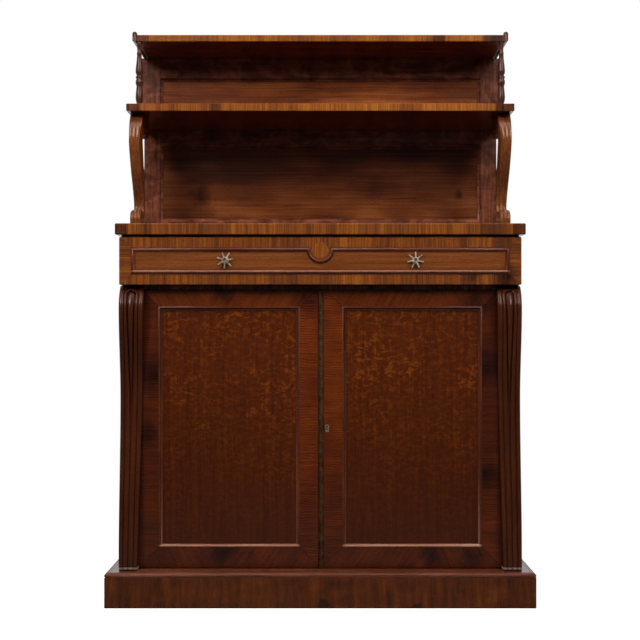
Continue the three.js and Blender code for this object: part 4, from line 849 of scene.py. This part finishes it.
def reed(start, end, start_drop, end_drop):
    """One round reed across the section: distances from the middle line, and drops."""
    section = []
    for share in steps(10):
        lean = 2 * share - 1
        round_off = 1 - math.sqrt(1 - 0.94 * lean * lean)
        drop = start_drop if lean < 0 else end_drop
        section.append((blend(start, end, share), drop * round_off / (1 - math.sqrt(0.06))))
    return section


def carved_section(height):
    """Half the carving at one height: the tongue, the loop's groove, two reeds and the edge."""
    up = share_between(height, FOOT_Z, ARCH_Z)
    loop = share_between(height, LOOP_FOOT_Z, ARCH_Z)
    half_groove = blend(*LOOP_GROOVE_WIDTHS, loop) / 2
    depth = blend(*LOOP_GROOVE_DEPTHS, loop)
    inner = max(LOOP_RADIUS * loop - half_groove, 0.0)
    outer = LOOP_RADIUS * loop + half_groove
    line = blend(*REED_LINE_PLACES, up)
    edge = blend(FOOT_WIDTH, HEAD_WIDTH, up) / 2
    rise = ease_in_out(share_between(inner, 0.0, 2 * MM))
    tongue = blend(depth, TONGUE_DROP * loop, rise)
    section = [(inner * share, tongue + TONGUE_CROWN * rise * share * share) for share in steps(4)]
    for share in steps(8)[1:-1]:
        wall = tongue + TONGUE_CROWN * rise if share < 0.5 else REED_SHOULDER_DROP
        drop = blend(wall, depth, math.sin(math.pi * share) ** 0.5)
        section.append((blend(inner, outer, share), drop))
    section += reed(outer, line, REED_SHOULDER_DROP, REED_LINE_DEPTH)
    section += reed(line, edge, REED_LINE_DEPTH, REED_EDGE_DROP)[1:]
    return section


def pilaster_middle(height):
    up = share_between(height, FOOT_Z, ARCH_Z)
    return OUTER_X - blend(FOOT_WIDTH, HEAD_WIDTH, up) / 2


def pilaster_rows(side):
    """Rows of points up one side of the carving, round the arch and down the other side."""
    toe = [blend(FOOT_Z, TOE_Z, share) for share in steps(8)]
    shaft = [blend(TOE_Z, ARCH_Z, share) for share in steps(60)[1:]]
    heights = toe + shaft

    def point(across, height, drop):
        return (side * across, FRONT_Y + pilaster_setback(height) + drop, height)

    def straight_row(height, hand):
        middle = pilaster_middle(height)
        return [point(middle + hand * away, height, drop) for away, drop in carved_section(height)]

    rows = [straight_row(height, -1) for height in heights]
    section = carved_section(ARCH_Z)
    line = REED_LINE_PLACES[1]
    half_width = HEAD_WIDTH / 2
    arch_rise = HEAD_Z - ARCH_Z
    for share in steps(40)[1:-1]:
        angle = math.pi * (1 - share)
        reach = min(half_width / max(abs(math.cos(angle)), 1e-6), arch_rise / math.sin(angle))
        row = []
        for away, drop in section:
            beyond = (away - line) / (half_width - line)
            radius = blend(line, reach, beyond) if away > line else min(away, reach)
            across = pilaster_middle(ARCH_Z) + radius * math.cos(angle)
            row.append(point(across, ARCH_Z + radius * math.sin(angle), drop))
        rows.append(row)
    return rows + [straight_row(height, 1) for height in reversed(heights)]


def carved_pilaster(label, side):
    node = f"pilaster_{label}"
    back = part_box(node)[1][1]
    made = bmesh.new()
    grid = [[made.verts.new(point) for point in row] for row in pilaster_rows(side)]
    for near, far in zip(grid, grid[1:]):
        for level in range(len(near) - 1):
            made.faces.new((near[level], far[level], far[level + 1], near[level + 1]))
    bmesh.ops.remove_doubles(made, verts=made.verts, dist=0.01 * MM)
    behind = {}
    for edge in [edge for edge in made.edges if edge.is_boundary]:
        for vertex in edge.verts:
            if vertex not in behind:
                behind[vertex] = made.verts.new((vertex.co.x, back, vertex.co.z))
        near, far = edge.verts
        made.faces.new((near, far, behind[far], behind[near]))
    bmesh.ops.contextual_create(made, geom=[edge for edge in made.edges if edge.is_boundary])
    bmesh.ops.recalc_face_normals(made, faces=made.faces)
    shade_by_angle(made, 42)
    mesh = mesh_from(made, f"carved_pilaster_{label}")
    mesh.materials.append(finish_of(node))
    stand_for(new_object(mesh.name, mesh), node)


for label, side in (("left", -1), ("right", 1)):
    carved_pilaster(label, side)
    smooth_copy(f"scroll_support_{label}", f"carved_scroll_{label}", 40)
    smooth_copy(f"shelf_ear_{label}", f"shaped_ear_{label}", 60)
    smooth_copy(f"door_{label}_moulding", f"ogee_moulding_{label}", 35)
    smooth_copy(f"star_knob_{label}", f"brass_star_{label}", 30, 0.25)
for node, name, crease in (
    ("plinth_moulding", "plinth_ledge_moulding", 35),
    ("drawer_moulding", "drawer_bead", 40),
    ("astragal_strip", "brass_astragal", 40),
    ("keyhole_escutcheon", "brass_escutcheon", 30),
):
    smooth_copy(node, name, crease)
for node in (
    "plinth_front", "plinth_left", "plinth_right", "carcase_side_left", "carcase_side_right",
    "top_slab", "drawer_front", "back_frame", "shelf_middle", "shelf_top",
):
    smooth_copy(node, f"eased_{node}", 30, 0.5)


# Pieces that node trees make


def new_tree(name, **sizes):
    """A geometry tree with named inputs, given with their kinds: Int, Float or Vector."""
    tree = bpy.data.node_groups.new(name, "GeometryNodeTree")
    for way in ("INPUT", "OUTPUT"):
        tree.interface.new_socket("Geometry", in_out=way, socket_type="NodeSocketGeometry")
    for size, kind in sizes.items():
        tree.interface.new_socket(size, in_out="INPUT", socket_type=f"NodeSocket{kind}")
    return tree, add_node(tree, "NodeGroupInput").node.outputs


def end_tree(tree, shape, material):
    shape = add_node(tree, "GeometryNodeRealizeInstances", shape)
    shape = add_node(tree, "GeometryNodeSetMaterial", shape, sockets={"Material": material})
    add_node(tree, "NodeGroupOutput", shape)


def grown_piece(name, tree, start, **sizes):
    """The plain mesh that a tree grows from a starting mesh and its sizes."""
    piece = new_object(name, start)
    growth = piece.modifiers.new("growth", "NODES")
    growth.node_group = tree
    for socket in tree.interface.items_tree:
        if socket.name in sizes:
            growth[socket.identifier] = sizes[socket.name]
    shape = piece.evaluated_get(bpy.context.evaluated_depsgraph_get())
    mesh = bpy.data.meshes.new_from_object(shape)
    piece.modifiers.clear()
    piece.data = mesh
    return piece


def turned_tree():
    """Turned work: a line up the middle, with its radius at each point, swept by a circle."""
    tree, given = new_tree("turned_work", Facets="Int", Crease="Float")
    line = add_node(tree, "GeometryNodeMeshToCurve", given["Geometry"])
    circle = "GeometryNodeCurvePrimitiveCircle"
    ring = add_node(tree, circle, given["Facets"], sockets={"Radius": 1.0})
    radius = add_node(tree, "GeometryNodeInputNamedAttribute", "radius", data_type="FLOAT")
    shape = add_node(tree, "GeometryNodeCurveToMesh", line, ring, radius, True)
    angle = add_node(tree, "GeometryNodeInputMeshEdgeAngle")
    sharp = add_node(tree, "FunctionNodeCompare", angle, given["Crease"], operation="GREATER_THAN")
    shape = add_node(tree, "GeometryNodeSetShadeSmooth", shape, None, True)
    shape = add_node(tree, "GeometryNodeSetShadeSmooth", shape, sharp, False, domain="EDGE")
    end_tree(tree, shape, turned_finish)
    return tree


def turned_spindle(label, tree):
    """A spindle turned again with more facets, to the rings of its solid."""
    node = f"spindle_{label}"
    low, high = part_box(node)
    middle = (low + high) / 2
    rings = {}
    for vertex in frame["nodes"][node].data.vertices:
        reach = math.hypot(vertex.co.x - middle.x, vertex.co.y - middle.y)
        height = round(vertex.co.z, 6)
        rings[height] = max(reach, rings.get(height, 0.0))
    heights = sorted(rings)
    line = bpy.data.meshes.new("spindle_line")
    points = [(middle.x, middle.y, height) for height in heights]
    line.from_pydata(points, [(place, place + 1) for place in range(len(points) - 1)], [])
    radius = line.attributes.new("radius", "FLOAT", "POINT")
    radius.data.foreach_set("value", [rings[height] for height in heights])
    piece = grown_piece(f"turned_spindle_{label}", tree, line, Facets=40, Crease=math.radians(40))
    stand_for(piece, node)


def boards_tree():
    """Upright back boards side by side, each a little narrower than its share."""
    sizes = {"Count": "Int", "Size": "Vector", "Start": "Vector", "Pitch": "Vector"}
    tree, given = new_tree("back_boards", **sizes)
    sockets = {"Start Location": given["Start"], "Offset": given["Pitch"]}
    line = add_node(tree, "GeometryNodeMeshLine", given["Count"], sockets=sockets)
    board = add_node(tree, "GeometryNodeMeshCube", given["Size"])
    boards = add_node(tree, "GeometryNodeInstanceOnPoints", line, sockets={"Instance": board})
    end_tree(tree, boards, timber_upright)
    return tree


SCREW_SLOT = (8 * MM, 0.7 * MM, 1 * MM)
HEAD_TOP_SHARE = 0.7


def fixings_tree(name, slotted):
    """Heads of nails or slotted screws on points, each turned its own way."""
    tree, given = new_tree(name, Radius="Float", Rise="Float", Tilt="Vector")
    top = add_node(tree, MATH, given["Radius"], HEAD_TOP_SHARE, operation="MULTIPLY")
    head = add_node(tree, "GeometryNodeMeshCone", 12, 1, 1, top, given["Radius"], given["Rise"])
    if slotted:
        slot = add_node(tree, "GeometryNodeMeshCube", SCREW_SLOT)
        head = add_node(tree, "GeometryNodeMeshBoolean", head, slot, operation="DIFFERENCE")
    sockets = {"Instance": head, "Rotation": given["Tilt"]}
    heads = add_node(tree, "GeometryNodeInstanceOnPoints", given["Geometry"], sockets=sockets)
    # Its inputs and outputs share names, so its largest number and its number go by their order.
    spin = add_node(tree, "FunctionNodeRandomValue", sockets={3: math.pi, "Seed": 4}, out=1)
    turn = add_node(tree, "ShaderNodeCombineXYZ", 0.0, 0.0, spin)
    heads = add_node(tree, "GeometryNodeRotateInstances", heads, None, turn)
    end_tree(tree, heads, worn_steel)
    return tree


BOARD_COUNT = 9
BOARD_GAP = 1 * MM
BOARD_THINNING = 0.6 * MM
NAIL_INSET = 9 * MM
NAIL_SINK = 0.3 * MM
NAIL_SPREAD = 0.3
FACE_BACK = (-math.radians(90), 0.0, 0.0)


def fasten(name, tree, node, points, radius, rise):
    """Steel heads at points on the back of a node, which ride on its body."""
    start = bpy.data.meshes.new(name)
    start.from_pydata(points, [], [])
    heads = grown_piece(name, tree, start, Radius=radius, Rise=rise, Tilt=FACE_BACK)
    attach(heads, NODE_BODY[node])


def make_back_boards():
    """The back boards, each with a pair of nails at its foot, its middle and its head."""
    low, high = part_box("carcase_back")
    high.y -= BOARD_THINNING
    pitch = (high.x - low.x) / BOARD_COUNT
    piece = grown_piece(
        "back_boards",
        boards_tree(),
        bpy.data.meshes.new("back_boards"),
        Count=BOARD_COUNT,
        Size=(pitch - BOARD_GAP, high.y - low.y, high.z - low.z),
        Start=(low.x + pitch / 2, (low.y + high.y) / 2, (low.z + high.z) / 2),
        Pitch=(pitch, 0.0, 0.0),
    )
    bevel = piece.modifiers.new("eased_arrises", "BEVEL")
    bevel.width = 0.6 * MM
    bevel.segments = 1
    stand_for(piece, "carcase_back")
    nails = [
        (low.x + pitch * (board + 0.5 + side * NAIL_SPREAD), high.y - NAIL_SINK, height)
        for board in range(BOARD_COUNT)
        for side in (-1, 1)
        for height in (low.z + NAIL_INSET, (low.z + high.z) / 2, high.z - NAIL_INSET)
    ]
    nail_tree = fixings_tree("nail_heads", slotted=False)
    fasten("back_nails", nail_tree, "carcase_back", nails, 2.6 * MM, 0.8 * MM)


def make_case_screws(tree, node, inset):
    """Four slotted screws in the corners of a lock's or a bolt's case."""
    low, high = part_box(node)
    corners = [
        (across, high.y - 0.1 * MM, height)
        for across in (low.x + inset, high.x - inset)
        for height in (low.z + inset, high.z - inset)
    ]
    fasten(f"{node}_screws", tree, node, corners, 2.4 * MM, 0.9 * MM)


spindle_tree = turned_tree()
turned_spindle("left", spindle_tree)
turned_spindle("right", spindle_tree)
make_back_boards()
screw_tree = fixings_tree("screw_heads", slotted=True)
make_case_screws(screw_tree, "lock_case", 5 * MM)
make_case_screws(screw_tree, "slide_bolt_case", 3.4 * MM)


# Studio


def seen_share(tree, in_mirrors):
    """1 where the camera sees a thing, plain or through glass, and another share in mirrors."""
    seen_by = add_node(tree, "ShaderNodeLightPath").node.outputs
    mirrored = add_node(tree, MATH, seen_by["Is Glossy Ray"], in_mirrors, operation="MULTIPLY")
    seen = add_node(tree, MATH, seen_by["Is Camera Ray"], mirrored, operation="MAXIMUM")
    return add_node(tree, MATH, seen, seen_by["Is Transmission Ray"], operation="MAXIMUM")


def make_floor():
    """A pale round floor that keeps the object's soft shadow and fades into the white surround."""
    made = bmesh.new()
    bmesh.ops.create_circle(made, cap_ends=True, radius=FLOOR_RADIUS, segments=96)
    mesh = mesh_from(made, "studio_floor")
    floor = new_object("studio_floor", mesh)
    material, tree, place = new_material("studio_floor")
    from_middle = add_node(tree, VECTOR, place, operation="LENGTH", out="Value")
    fade = add_node(tree, RANGE, from_middle, *FLOOR_FADE, interpolation_type="SMOOTHSTEP")
    paper = add_node(tree, "ShaderNodeBsdfDiffuse", linear("#f4f3f1"))
    glow = add_node(tree, "ShaderNodeEmission", linear("#ffffff"), FLOOR_GLOW)
    bright = add_node(tree, "ShaderNodeAddShader", paper, glow)
    white = add_node(tree, "ShaderNodeEmission", linear("#ffffff"), 1.0)
    pale = add_node(tree, "ShaderNodeMixShader", fade, bright, white)
    carpet = add_node(tree, "ShaderNodeBsdfDiffuse", linear("#8c8a87"))
    seen = seen_share(tree, FLOOR_IN_MIRRORS)
    mixed = add_node(tree, "ShaderNodeMixShader", seen, carpet, pale)
    add_node(tree, "ShaderNodeOutputMaterial", mixed)
    mesh.materials.append(material)


def make_world():
    """White where the camera sees it, dim where it lights, with a dark end behind the camera."""
    world = bpy.data.worlds.new("studio_world")
    bpy.context.scene.world = world
    world.use_nodes = True
    tree = world.node_tree
    tree.nodes.clear()
    direction = add_node(tree, "ShaderNodeTexCoord", out="Generated")
    ahead = add_node(tree, SEPARATE, direction, out=1)
    dark_end = add_node(tree, RANGE, ahead, -0.35, 0.1, 0.06, 1.0, interpolation_type="SMOOTHSTEP")
    strength = add_node(tree, MIX, seen_share(tree, dark_end), None, FILL_STRENGTH, 1.0)
    surround = add_node(tree, "ShaderNodeBackground", linear("#ffffff"), strength)
    add_node(tree, "ShaderNodeOutputWorld", surround)


def make_softbox(label, place, aim, size, power, spread_degrees):
    """A softbox. A grid narrows its spread, so that the foot of the object falls away."""
    lamp = bpy.data.lights.new(f"softbox_{label}", "AREA")
    lamp.shape = "RECTANGLE"
    lamp.size, lamp.size_y = size
    lamp.energy = power
    lamp.spread = math.radians(spread_degrees)
    lamp.color = linear("#fffaf4")[:3]
    softbox = new_object(lamp.name, lamp)
    softbox.location = place
    softbox.rotation_euler = (Vector(aim) - Vector(place)).to_track_quat("-Z", "Y").to_euler()


def make_camera():
    lens = bpy.data.cameras.new("camera")
    lens.sensor_fit = "HORIZONTAL"
    lens.sensor_width = SENSOR_MM
    lens.lens = SENSOR_MM * LENS_PX / PHOTO_WIDTH_PX
    lens.shift_x = (PHOTO_WIDTH_PX / 2 - MIDDLE_PX) / PHOTO_WIDTH_PX
    lens.shift_y = (HORIZON_PX - PHOTO_WIDTH_PX / 2) / PHOTO_WIDTH_PX
    camera = new_object("camera", lens)
    camera.location = CAMERA_PLACE
    camera.rotation_euler = (math.radians(90), 0, 0)
    bpy.context.scene.camera = camera


make_floor()
make_world()
for label, settings in SOFTBOXES.items():
    make_softbox(label, *settings)
make_camera()
bpy.context.scene.view_settings.view_transform = "Standard"
